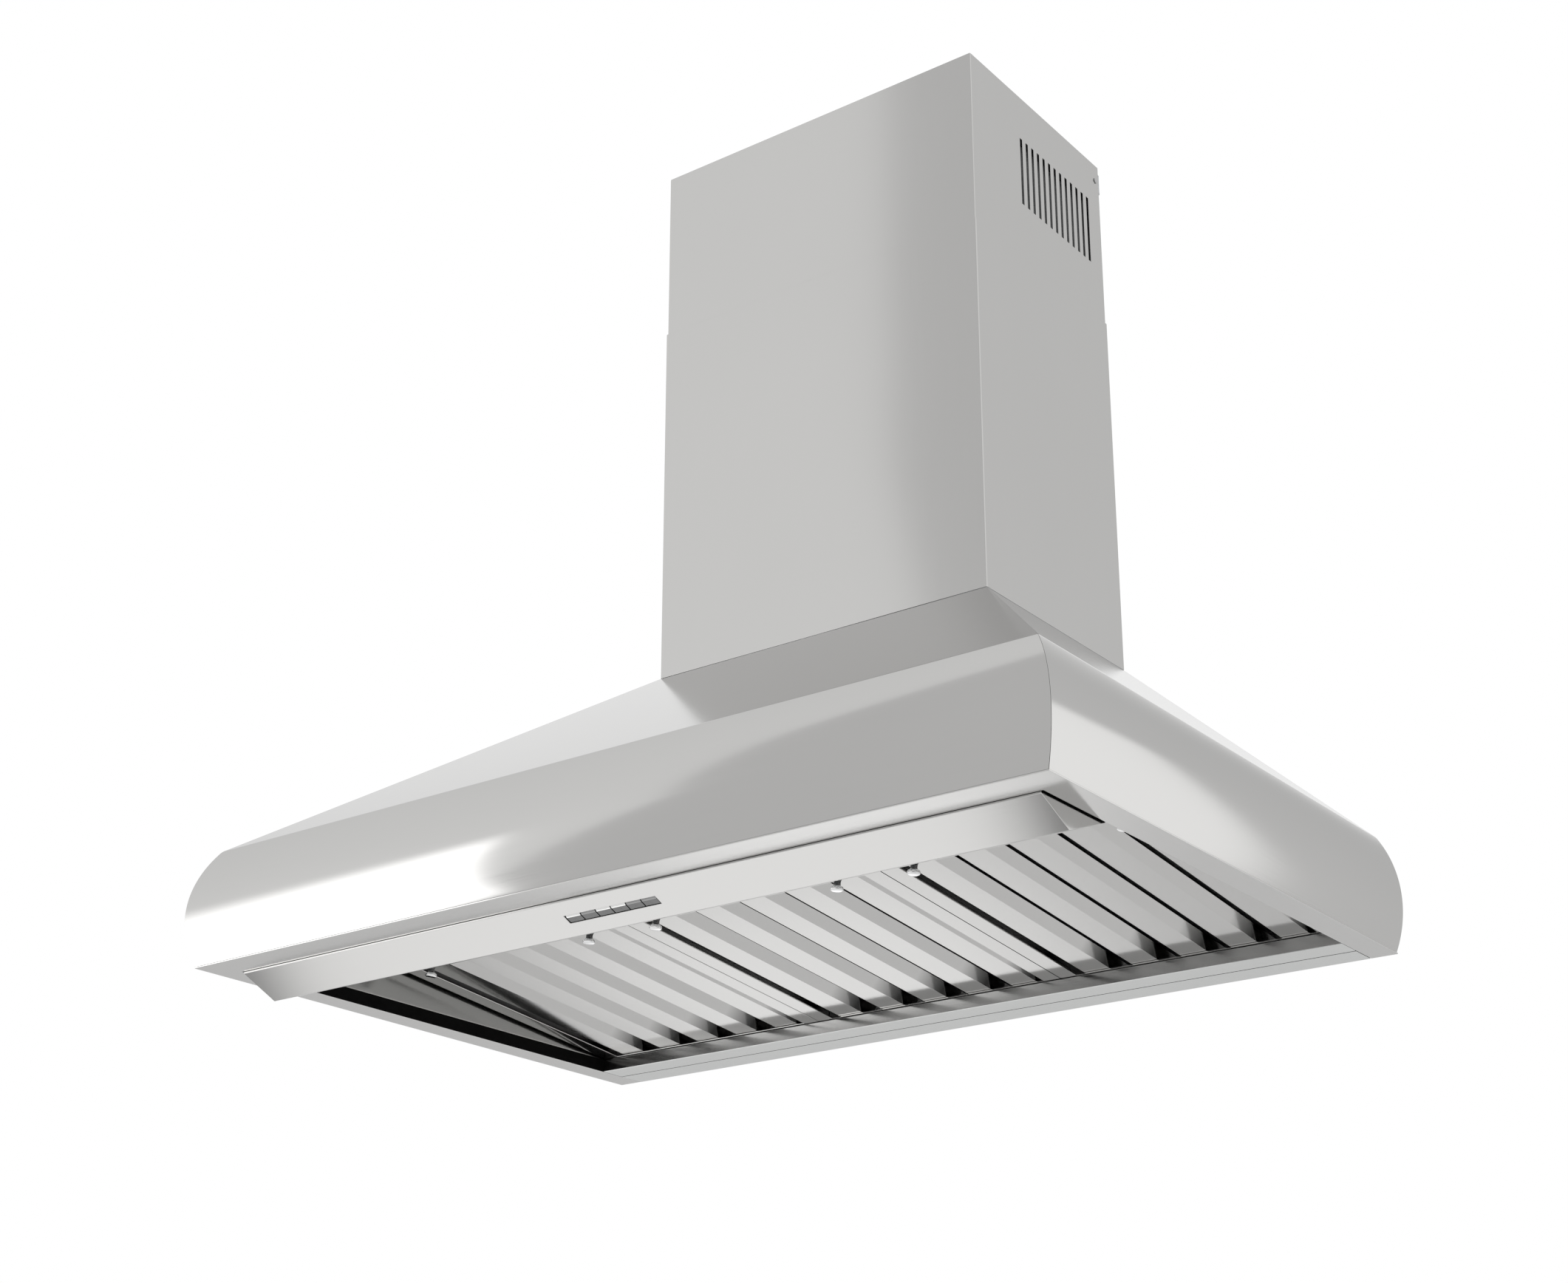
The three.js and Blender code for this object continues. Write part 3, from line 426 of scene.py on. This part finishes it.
def block(bm, low, high, matrix=Matrix.Identity(4)):
    """Adds a box between two corners, placed by the matrix."""
    size = Vector(high) - Vector(low)
    middle = (Vector(high) + Vector(low)) / 2
    place = matrix @ Matrix.Translation(middle) @ Matrix.Diagonal((*size, 1))
    bmesh.ops.create_cube(bm, size=1.0, matrix=place)


def cut(obj, cutter_bm):
    """Takes the cutter's volume out of the piece's mesh."""
    mesh = bpy.data.meshes.new("cutter")
    cutter_bm.to_mesh(mesh)
    cutter_bm.free()
    cutter = bpy.data.objects.new("cutter", mesh)
    bpy.context.scene.collection.objects.link(cutter)
    boolean = obj.modifiers.new("cut", "BOOLEAN")
    boolean.operation = "DIFFERENCE"
    boolean.solver = "EXACT"
    boolean.object = cutter
    others = [m for m in obj.modifiers if m != boolean]
    for modifier in others:
        modifier.show_viewport = False
    bpy.context.view_layer.update()
    graph = bpy.context.evaluated_depsgraph_get()
    made = bpy.data.meshes.new_from_object(obj.evaluated_get(graph))
    for modifier in others:
        modifier.show_viewport = True
    obj.modifiers.remove(boolean)
    old = obj.data
    obj.data = made
    bpy.data.meshes.remove(old)
    bpy.data.objects.remove(cutter)
    bpy.data.meshes.remove(mesh)
    return obj


# ---------------------------------------------------------------- canopy skin

HALF_RIM = RIM[1].x
RIM_FRONT = RIM[0].y
SKIRT_INSET = CURVE_INSET - math.sqrt(CURVE_RADIUS**2 - (SKIRT_TOP - CURVE_HEIGHT) ** 2)
HIP_START = (HALF_RIM - SKIRT_INSET, RIM_FRONT + SKIRT_INSET)
HIP_END = (LOWER[1].x, LOWER[0].y)


def hip_x(y):
    """Half width of the canopy at depth y, along the mitred corner seen from above."""
    if y <= HIP_START[1]:
        return HALF_RIM - (y - RIM_FRONT)
    share = (y - HIP_START[1]) / (HIP_END[1] - HIP_START[1])
    return HIP_START[0] + share * (HIP_END[0] - HIP_START[0])


def hip_y(x):
    """The same line the other way round: the depth of the corner at half width x."""
    if x >= HIP_START[0]:
        return RIM_FRONT + HALF_RIM - x
    share = (x - HIP_START[0]) / (HIP_END[0] - HIP_START[0])
    return HIP_START[1] + share * (HIP_END[1] - HIP_START[1])


def skin_section(run):
    """(outer, inner) points of the skin, each (inset, height): curved skirt, soft crease, slope."""
    top = CANOPY_TOP - BASE
    low = -math.asin((CURVE_HEIGHT - SKIRT_BOTTOM) / CURVE_RADIUS)
    high = math.asin((SKIRT_TOP - CURVE_HEIGHT) / CURVE_RADIUS)
    slope = Vector((run, top - SKIRT_TOP)).normalized()
    crease = Vector((SKIRT_INSET, SKIRT_TOP))
    line = []
    steps = 48
    last = high - CREASE / CURVE_RADIUS
    for i in range(steps + 1):
        angle = low + (last - low) * i / steps
        outward = Vector((-math.cos(angle), math.sin(angle)))
        line.append((Vector((CURVE_INSET, CURVE_HEIGHT)) + outward * CURVE_RADIUS, outward))
    start, start_out = line[-1]
    end, end_out = crease + slope * CREASE, Vector((-slope.y, slope.x))
    for i in range(1, 7):
        t = i / 6
        point = start * (1 - t) ** 2 + crease * 2 * t * (1 - t) + end * t**2
        line.append((point, start_out.lerp(end_out, t).normalized()))
    for i in range(1, 13):
        line.append((end.lerp(Vector((SKIRT_INSET + run, top)), i / 12), end_out))
    return [(point, point - outward * SKIN_SHEET) for point, outward in line]


def front_skin():
    rows = []
    for outer, inner in skin_section(HIP_END[1] - HIP_START[1]):
        row = []
        for inset, height in (outer, inner):
            y = RIM_FRONT + inset
            x = hip_x(y)
            row += [Vector((-x, y, BASE + height)), Vector((x, y, BASE + height))]
        rows.append(row)
    return shell(rows)


def side_skin(side):
    rows = []
    for outer, inner in skin_section(HIP_START[0] - HIP_END[0]):
        row = []
        for inset, height in (outer, inner):
            x = HALF_RIM - inset
            front = hip_y(x) + MITRE_GAP
            row += [Vector((side * x, front, BASE + height)), Vector((side * x, 0, BASE + height))]
        rows.append(row)
    return shell(rows)


SKIN = dict(bevel=0.00028, segments=2, angle=40)
piece("skin_front", front_skin(), "stainless_skin", ["canopy_front_panel"], **SKIN)
for word, side in (("left", -1), ("right", 1)):
    node = f"canopy_{word}_panel"
    piece(f"skin_{word}", side_skin(side), "stainless_skin", [node], finish="stainless_side", **SKIN)

# ---------------------------------------------------------------- chimney covers


def cover(low, high, radius):
    """A sheet bent to a U, open at the back, from its outer box."""
    steps = 8
    corners = [(low.x + radius, low.y + radius, 180), (high.x - radius, low.y + radius, 270)]
    line = [((low.x, high.y), (1, 0))]
    for x, y, start in corners:
        for i in range(steps + 1):
            angle = math.radians(start + 90 * i / steps)
            out = (math.cos(angle), math.sin(angle))
            line.append(((x + out[0] * radius, y + out[1] * radius), (-out[0], -out[1])))
    line.append(((high.x, high.y), (-1, 0)))
    rows = []
    for (x, y), (u, v) in line:
        ix, iy = x + u * COVER_SHEET, y + v * COVER_SHEET
        outer = [Vector((x, y, low.z)), Vector((x, y, high.z))]
        rows.append(outer + [Vector((ix, iy, low.z)), Vector((ix, iy, high.z))])
    return shell(rows)


def vent_cutter():
    """One box for each vent slot, right through both sides of the upper cover."""
    bm = bmesh.new()
    for i in range(VENT_COUNT):
        y = VENT_FIRST + i * VENT_PITCH
        low = (UPPER[0].x - 0.01, y - VENT_WIDTH / 2, VENT_HEIGHT[0])
        high = (UPPER[1].x + 0.01, y + VENT_WIDTH / 2, VENT_HEIGHT[1])
        block(bm, low, high)
    return bm


COVER = dict(bevel=0.00018, segments=2, angle=40)
lower = piece(
    "cover_lower",
    cover(*LOWER, COVER_BEND),
    "stainless_chimney",
    ["chimney_lower_cover"],
    **COVER,
)
upper = piece(
    "cover_upper",
    cover(*UPPER, COVER_BEND - COVER_SHEET / 2),
    "stainless_chimney",
    ["chimney_upper_cover"],
    **COVER,
)
for cover_piece in (lower, upper):
    # painted light: the covers' sides get a lighter tone of the same steel
    retone(cover_piece, "cheek_painted_light", lambda p, n: abs(n.x) > 0.95)
cut(upper, vent_cutter())

# ---------------------------------------------------------------- knobs and lamps


def filter_place(number):
    """Where a filter's own axes lie in the part: x across, y along it, z square to it."""
    x, y, z = JOINTS[f"filter_{number}_swing"]["pos_m"]
    return Matrix.Translation((x, y, z)) @ Matrix.Rotation(-FILTER_TILT, 4, "X")


MILLIMETRE = 0.001

# Profiles as (radius, height) in millimetres
KNOB = [
    (0, -13.0),
    (4.6, -13.0),
    (5.2, -12.9),
    (5.62, -12.6),
    (5.8, -12.1),
    (5.8, -10.8),
    (5.62, -10.35),
    (5.2, -10.0),
    (4.3, -9.5),
    (3.6, -8.9),
    (3.25, -8.0),
    (3.1, -6.6),
    (3.15, -5.2),
    (3.5, -3.6),
    (4.1, -2.2),
    (4.8, -1.2),
    (5.0, -0.8),
    (4.95, -0.3),
    (2.2, -0.3),
    (2.2, 20.0),
    (2.6, 20.6),
    (2.95, 22.0),
    (3.0, 23.0),
    (2.8, 24.4),
    (2.2, 25.4),
    (1.4, 25.9),
    (0, 26.0),
]
for number in (1, 2, 3):
    for word, side in (("left", -1), ("right", 1)):
        place = filter_place(number) @ Matrix.Translation((side * KNOB_X, KNOB_ALONG, 0))
        profile = [(r * MILLIMETRE, h * MILLIMETRE) for r, h in KNOB]
        node = f"filter_{number}_knob_{word}"
        knob = piece(f"knob_{number}_{word}", lathe(profile, place, 32), "knob_chrome", [node])
        inward = place.inverted()
        # painted reflection: a band of the neck gets a dark chrome, for the dark reflections there
        retone(knob, "knob_painted_shade", lambda p, n: KNOB_NECK[0] < (inward @ p).z < KNOB_NECK[1])

LAMP = [
    (26, -2.4),
    (32.4, -2.4),
    (33.4, -2.1),
    (34, -1.4),
    (34, -0.3),
    (29.6, -0.3),
    (29.6, 6),
    (24.4, 21),
    (23.4, 22),
    (0, 22),
    (0, 20.8),
    (23.2, 20.8),
    (28.4, 5.4),
    (28.4, 1),
    (26, 1),
    (25.8, 0.4),
    (25.8, -2.0),
    (26, -2.4),
]
LENS = [(0, -1.8), (23.2, -1.8), (24.6, -1.5), (25.4, -0.8), (25.5, 0.7), (0, 0.7)]
lamp_base = Matrix.Translation(LAMP_ORIGIN) @ Matrix.Rotation(LAMP_ANGLE, 4, "X")
for word, side in (("left", -1), ("right", 1)):
    place = lamp_base @ Matrix.Translation((side * LAMP_X, LAMP_ALONG, 0))
    ring = [(r * MILLIMETRE, h * MILLIMETRE) for r, h in LAMP]
    lens = [(r * MILLIMETRE, h * MILLIMETRE) for r, h in LENS]
    piece(f"lamp_ring_{word}", lathe(ring, place, 48), "lamp_chrome", [f"lamp_{word}"])
    piece(f"lamp_cover_{word}", lathe(lens, place, 48), "lamp_glass", [f"lamp_lens_{word}"])

# ---------------------------------------------------------------- sheet parts, refined from the CAD


def inner_lip(p, n):
    """True for the upright faces of the rim's inner lip."""
    return p.z > BASE + 0.002 and abs(n.z) < 0.5 and abs(p.x) < HALF_RIM - 0.01


rim = refined("rim_frame", "stainless_rim", 0.0004, 3)
# painted shade: the upright faces of the rim's inner lip are near black
retone(rim, "near_black_painted_shade", inner_lip)
rail = refined("rear_grease_rail", "stainless_rim", 0.0008, 3, finish="steel_foot")
# painted shade: the rail's front face gets a darker steel
retone(rail, "steel_rail_painted_shade", lambda p, n: n.y < -0.9)
# painted shade: the rail's rear faces at the foot are near black, a dark line
retone(rail, "near_black_painted_shade", lambda p, n: n.y > 0.9 and p.z < BASE + FOOT_HEIGHT)
for word, side in (("left", -1), ("right", 1)):
    liner = f"side_liner_{word}"
    # painted shade: the liners get a darker steel for the shade inside the hood
    refined(liner, "stainless_liner", 0.0003, finish="dark_liner_painted_shade")
    low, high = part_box(liner)
    hem = bmesh.new()
    near = min(abs(low.x), abs(high.x)) - LINER_GAP
    ends = sorted((side * near, side * (near - SKIN_SHEET - LINER_GAP)))
    z = BASE + RIM_LIP + HEM_LIFT
    block(hem, (ends[0], low.y, z), (ends[1], high.y, z + HEM_HEIGHT))
    piece(f"liner_hem_{word}", hem, "stainless_liner", [], body=NODES[liner]["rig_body"])
fascia = refined("control_fascia", "stainless_fascia", 0.0004, 3)
# painted shade: the fascia's upward faces are near black, a dark line above the fascia
retone(fascia, "steel_painted_black_shade", lambda p, n: n.z > 0.1)
refined("lamp_panel", "stainless_liner", 0.0003, finish="stainless_rim")
refined("front_filter_rail", "galvanised", 0.0003)
back = refined("canopy_back_panel", "galvanised", 0.0003)
retone(back, "steel_foot", lambda p, n: p.z < BASE + FOOT_HEIGHT)
# painted shade: the foot's front edge is near black, a dark line against the rail
retone(back, "near_black_painted_shade", lambda p, n: p.y < FOOT_EDGE_Y and n.y < -0.9)
for vertex in back.data.vertices:
    if vertex.co.y < FOOT_EDGE_Y:
        vertex.co.y += FOOT_TRIM
refined("canopy_top_plate", "galvanised", 0.0003)
for number in (1, 2, 3):
    inward = filter_place(number).inverted()
    refined(f"filter_{number}_frame", "filter_stainless", 0.0006, 3)
    baffles = refined(f"filter_{number}_baffles", "filter_stainless", 0.0005, 3)
    # painted shade: the legs darken towards the rear ends of the baffles
    retone(baffles, "steel_leg_painted_shade", lambda p, n: abs(n.x) > 0.4 and abs(n.y) < 0.5)
    # painted shade: the upper row of baffles gets a darker, rougher steel
    retone(baffles, "steel_upper_painted_shade", lambda p, n: (inward @ p).z > UPPER_ROW)
    # painted shade: the outermost upper baffles are near black
    outermost = lambda p, n: (inward @ p).z > UPPER_ROW and abs((inward @ p).x) > OUTER_BAFFLE
    retone(baffles, "steel_painted_black_shade", outermost)

# ---------------------------------------------------------------- keys

refined("switch_housing", "black_plastic", 0.0002)
refined("control_board", "circuit_board", 0.0002)
keys = Matrix.Translation(KEY_ORIGIN) @ Matrix.Rotation(-FACE_ANGLE, 4, "X")


def mark_ring(bm, x, y, radius, start=0, turn=360):
    """A fine ring, or part of one, on a key's face."""
    steps = 20
    for i in range(steps):
        angle = math.radians(start + turn * (i + 0.5) / steps)
        place = Matrix.Translation((x, y, 0)) @ Matrix.Rotation(angle, 4, "Z")
        half = math.pi * radius * turn / 360 / steps
        low = (radius - MARK_LINE, -half, 0)
        high = (radius + MARK_LINE, half, MARK_HEIGHT)
        block(bm, low, high, place)


def mark_bar(bm, x, y, wide, tall):
    """A bar on a key's face, from its middle and its half sizes."""
    block(bm, (x - wide, y - tall, 0), (x + wide, y + tall, MARK_HEIGHT))


def key_mark(number):
    """Generic symbol of a key: off, two to four speed bars, timer and lamp."""
    bm = bmesh.new()
    if number == 1:
        mark_ring(bm, 0, 0, 0.0013, -60, 300)
        mark_bar(bm, 0, -0.0011, MARK_LINE, 0.0007)
    elif number == 6:
        mark_ring(bm, 0, 0, 0.0009)
        for step in range(8):
            turn = Matrix.Rotation(math.radians(45 * step), 4, "Z")
            block(bm, (0.0013, -0.0001, 0), (0.0018, 0.0001, MARK_HEIGHT), turn)
    elif number == 5:
        mark_ring(bm, 0, 0, 0.0014)
        mark_bar(bm, 0, -0.0004, 0.0001, 0.0005)
        mark_bar(bm, 0.0004, 0.0001, 0.0005, 0.0001)
    else:
        for step in range(number - 1):
            mark_bar(bm, (step - (number - 2) / 2) * 0.0009, 0, 0.0002, 0.0005 + 0.0002 * step)
    return bm


def upper_band(p, n):
    """True for the faces of the strip along a key's upper edge."""
    place = keys.inverted() @ p
    return place.y < KEY_TOP + KEY_BAND and place.z < KEY_BAND_DEPTH


slope = Matrix.Rotation(math.atan2(0.2, 6.2), 4, "X")
for i in range(KEY_COUNT):
    node = f"button_{i + 1}"
    body = NODES[node]["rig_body"]
    button = refined(node, "key_grey", 0.0002)
    # painted highlight: the upper strip is bright on some keys and a painted grey reflection on the
    # others
    retone(button, "key_painted_highlight" if i + 1 in KEYS_WITH_PAINTED_HIGHLIGHT else "key_painted_grey_reflection", upper_band)
    mark = key_mark(i + 1)
    across = (i - (KEY_COUNT - 1) / 2) * KEY_PITCH
    middle = Matrix.Translation((across, KEY_TOP + KEY_CENTRE, KEY_FACE))
    mark.transform(keys @ middle @ slope)
    piece(f"key_{i + 1}_mark", mark, "key_grey", [], finish="key_mark", body=body)

# ---------------------------------------------------------------- chimney fittings and blower

for word in ("left", "right"):
    cap = refined(f"vent_cap_{word}", "black_plastic", 0.0002)
    # painted light and shade: the caps' faces towards the vent slots are grey and the rest near black
    retone(cap, "cap_painted_light_grey", lambda p, n: abs(n.x) > 0.9)
refined("upper_wall_bracket", "galvanised", 0.0003)
refined("cover_screw_left", "screw_steel", 0.0003)
refined("cover_screw_right", "screw_steel", 0.0003)
for node in ("inlet_side", "motor_side", "scroll", "mounting_plate", "inlet_ring"):
    refined(f"blower_{node}", "galvanised", 0.0002)
for node in ("motor_mount", "electrical_box", "electrical_box_cover"):
    refined(node, "galvanised", 0.0003)
refined("blower_wheel", "wheel_black")
refined("duct_collar", "black_plastic")
refined("damper_flap_rear", "black_plastic")
refined("damper_flap_front", "black_plastic")
refined("motor", "motor_paint")
refined("motor_shaft", "screw_steel")
refined("damper_pin", "screw_steel")
refined("cable_gland", "black_plastic")
refined("motor_capacitor", "capacitor_white")

# ---------------------------------------------------------------- studio

WORLD_LEVEL = 0.88
# Broad soft areas of the world: azimuth and elevation in degrees, full and outer angle, gain
WORLD_AREAS = [
    (-150, 14, 19, 30, 0.20),
    (158, 12, 24, 40, -0.18),
    (-20, 70, 10, 60, -0.05),
]
# Cards: name, centre, facing, up, width, height, level, soft share across and up, slant
CARDS = [
    ("white", (-0.884, -0.692, -0.345), (0.6, 0.8, 0), (0, 0, 1), 1.1, 0.525, 2.0, 0.03, 0.42, -0.33),
    ("right_rear", (1.45, 0.25, -0.0475), (-0.5, -0.866, 0), (0, 0, 1), 1.3, 0.855, 1.17, 0.14, 0.21, 0),
    ("bounce_rear", (-1.5, 1.75, -1.2), (0, 0, 1), (0, 1, 0), 1.5, 1.5, 1.19, 0.7, 0.7, 0),
    ("bounce_left", (-0.8425, -0.22, -1.2), (0, 0, 1), (0, 1, 0), 1.315, 0.6, 1.12, 0.08, 0.08, 0),
    ("flag_left", (-1.76, -0.22, -1.2), (0, 0, 1), (0, 1, 0), 0.5, 0.6, 0.12, 0.1, 0.1, 0),
    ("flag_right", (-0.005, -0.22, -1.2), (0, 0, 1), (0, 1, 0), 0.32, 0.6, 0.12, 0.1, 0.1, 0),
]

# The large grey card in front of the hood, as (x, z) corners
GREY_OUTLINE = [(-0.81, -0.6), (2.1, -0.6), (2.1, 2.2), (-0.6, 2.2), (-0.6, 0.9), (-0.459, 0.18)]
GREY_Y, GREY_LEVEL = -1.3, 0.63

FLOOR_Z = -1.45
FLOOR_HALF = 12

CAMERA_PLACE = (1.286, -2.055, -0.7946)
CAMERA_TURN = (109.881, 0, 36.515)  # degrees
CAMERA_LENS = 57.44
CAMERA_SENSOR = 36.0
CAMERA_SHIFT = (0.003, 0.076)


def direction(azimuth, elevation):
    """Unit vector towards a place on the sky; azimuth 0 is straight in front of the hood."""
    a, e = math.radians(azimuth), math.radians(elevation)
    return (math.sin(a) * math.cos(e), -math.cos(a) * math.cos(e), math.sin(e))


def smooth_range(tree, value, low, high, out_low, out_high):
    node = tree.nodes.new("ShaderNodeMapRange")
    node.interpolation_type = "SMOOTHSTEP"
    names = ("From Min", "From Max", "To Min", "To Max")
    for name, number in zip(names, (low, high, out_low, out_high)):
        node.inputs[name].default_value = number
    tree.links.new(value, node.inputs["Value"])
    return node.outputs["Result"]


def combined(tree, operation, first, second):
    """A math node's result; each side is a number or another node's output."""
    node = tree.nodes.new("ShaderNodeMath")
    node.operation = operation
    for socket, value in zip(node.inputs, (first, second)):
        if isinstance(value, (int, float)):
            socket.default_value = value
        else:
            tree.links.new(value, socket)
    return node.outputs["Value"]


def studio_world():
    """A pale room with broad soft areas; seen directly it is plain white."""
    world = bpy.data.worlds.new("studio")
    bpy.context.scene.world = world
    world.use_nodes = True
    tree = world.node_tree
    toward = tree.nodes.new("ShaderNodeTexCoord").outputs["Generated"]
    level = WORLD_LEVEL
    for azimuth, elevation, inner, outer, gain in WORLD_AREAS:
        dot = tree.nodes.new("ShaderNodeVectorMath")
        dot.operation = "DOT_PRODUCT"
        dot.inputs[1].default_value = direction(azimuth, elevation)
        tree.links.new(toward, dot.inputs[0])
        edge, full = math.cos(math.radians(outer)), math.cos(math.radians(inner))
        share = smooth_range(tree, dot.outputs["Value"], edge, full, 0, gain)
        level = combined(tree, "ADD", share, level)
    seen = tree.nodes.new("ShaderNodeLightPath").outputs["Is Camera Ray"]
    missing = combined(tree, "SUBTRACT", 1.0, level)
    level = combined(tree, "ADD", combined(tree, "MULTIPLY", seen, missing), level)
    tree.links.new(level, tree.nodes["Background"].inputs["Strength"])
    tree.nodes["Background"].inputs["Color"].default_value = (1, 1, 1, 1)


def card_material(name, level, soft_across, soft_up):
    """Light of one level that fades out towards the card's edges."""
    material = bpy.data.materials.new(name)
    material.use_nodes = True
    tree = material.node_tree
    tree.nodes.clear()
    split = tree.nodes.new("ShaderNodeSeparateXYZ")
    tree.links.new(tree.nodes.new("ShaderNodeTexCoord").outputs["UV"], split.inputs[0])
    share = 1.0
    for axis, soft in (("X", soft_across), ("Y", soft_up)):
        middle = combined(tree, "SUBTRACT", split.outputs[axis], 0.5)
        edge = combined(tree, "SUBTRACT", 0.5, combined(tree, "ABSOLUTE", middle, 0))
        fade = smooth_range(tree, edge, 0, 0.5 * soft, 0, 1)
        share = combined(tree, "MULTIPLY", fade, share)
    emission = tree.nodes.new("ShaderNodeEmission")
    emission.inputs["Strength"].default_value = level
    clear = tree.nodes.new("ShaderNodeBsdfTransparent")
    mix = tree.nodes.new("ShaderNodeMixShader")
    output = tree.nodes.new("ShaderNodeOutputMaterial")
    tree.links.new(share, mix.inputs[0])
    tree.links.new(clear.outputs[0], mix.inputs[1])
    tree.links.new(emission.outputs[0], mix.inputs[2])
    tree.links.new(mix.outputs[0], output.inputs["Surface"])
    return material


def studio_plane(name, corners, material, shares=None):
    mesh = bpy.data.meshes.new(name)
    mesh.from_pydata(corners, [], [tuple(range(len(corners)))])
    if shares:
        for loop, share in zip(mesh.uv_layers.new(name="share").data, shares):
            loop.uv = share
    mesh.materials.append(material)
    obj = bpy.data.objects.new(name, mesh)
    bpy.context.scene.collection.objects.link(obj)
    return obj


def hidden(card):
    """Hides a card from the camera and from shadow rays; it still lights and is reflected."""
    card.visible_camera = False
    card.visible_shadow = False


def studio_cards():
    square = [(0, 0), (1, 0), (1, 1), (0, 1)]
    for name, centre, facing, up, width, height, level, across, upward, slant in CARDS:
        z = Vector(facing).normalized()
        x = Vector(up).cross(z).normalized()
        y = z.cross(x)
        corners = []
        for u, v in square:
            along = (u - 0.5) * width
            corners.append(Vector(centre) + x * along + y * ((v - 0.5) * height + slant * along))
        hidden(studio_plane(name, corners, card_material(name, level, across, upward), square))
    corners = [(x, GREY_Y, z) for x, z in GREY_OUTLINE]
    shares = [(0.5, 0.5)] * len(corners)
    hidden(studio_plane("grey", corners, card_material("grey", GREY_LEVEL, 0.5, 0.5), shares))


def studio_floor():
    n = Nodes("studio_floor").set(Roughness=0.9)
    colour = n.ramp(n.noise(2.0), (0.79, 0.79, 0.79), (0.81, 0.81, 0.81))
    n.link(colour, n.shader.inputs["Base Color"])
    signs = ((-1, -1), (1, -1), (1, 1), (-1, 1))
    corners = [(u * FLOOR_HALF, v * FLOOR_HALF, FLOOR_Z) for u, v in signs]
    studio_plane("floor", corners, n.material)


def studio_camera():
    data = bpy.data.cameras.new("camera")
    data.lens = CAMERA_LENS
    data.sensor_width = CAMERA_SENSOR
    data.shift_x, data.shift_y = CAMERA_SHIFT
    camera = bpy.data.objects.new("camera", data)
    camera.location = CAMERA_PLACE
    camera.rotation_euler = [math.radians(angle) for angle in CAMERA_TURN]
    bpy.context.scene.collection.objects.link(camera)
    bpy.context.scene.camera = camera


studio_world()
studio_cards()
studio_floor()
studio_camera()
bpy.context.scene.view_settings.view_transform = "Standard"
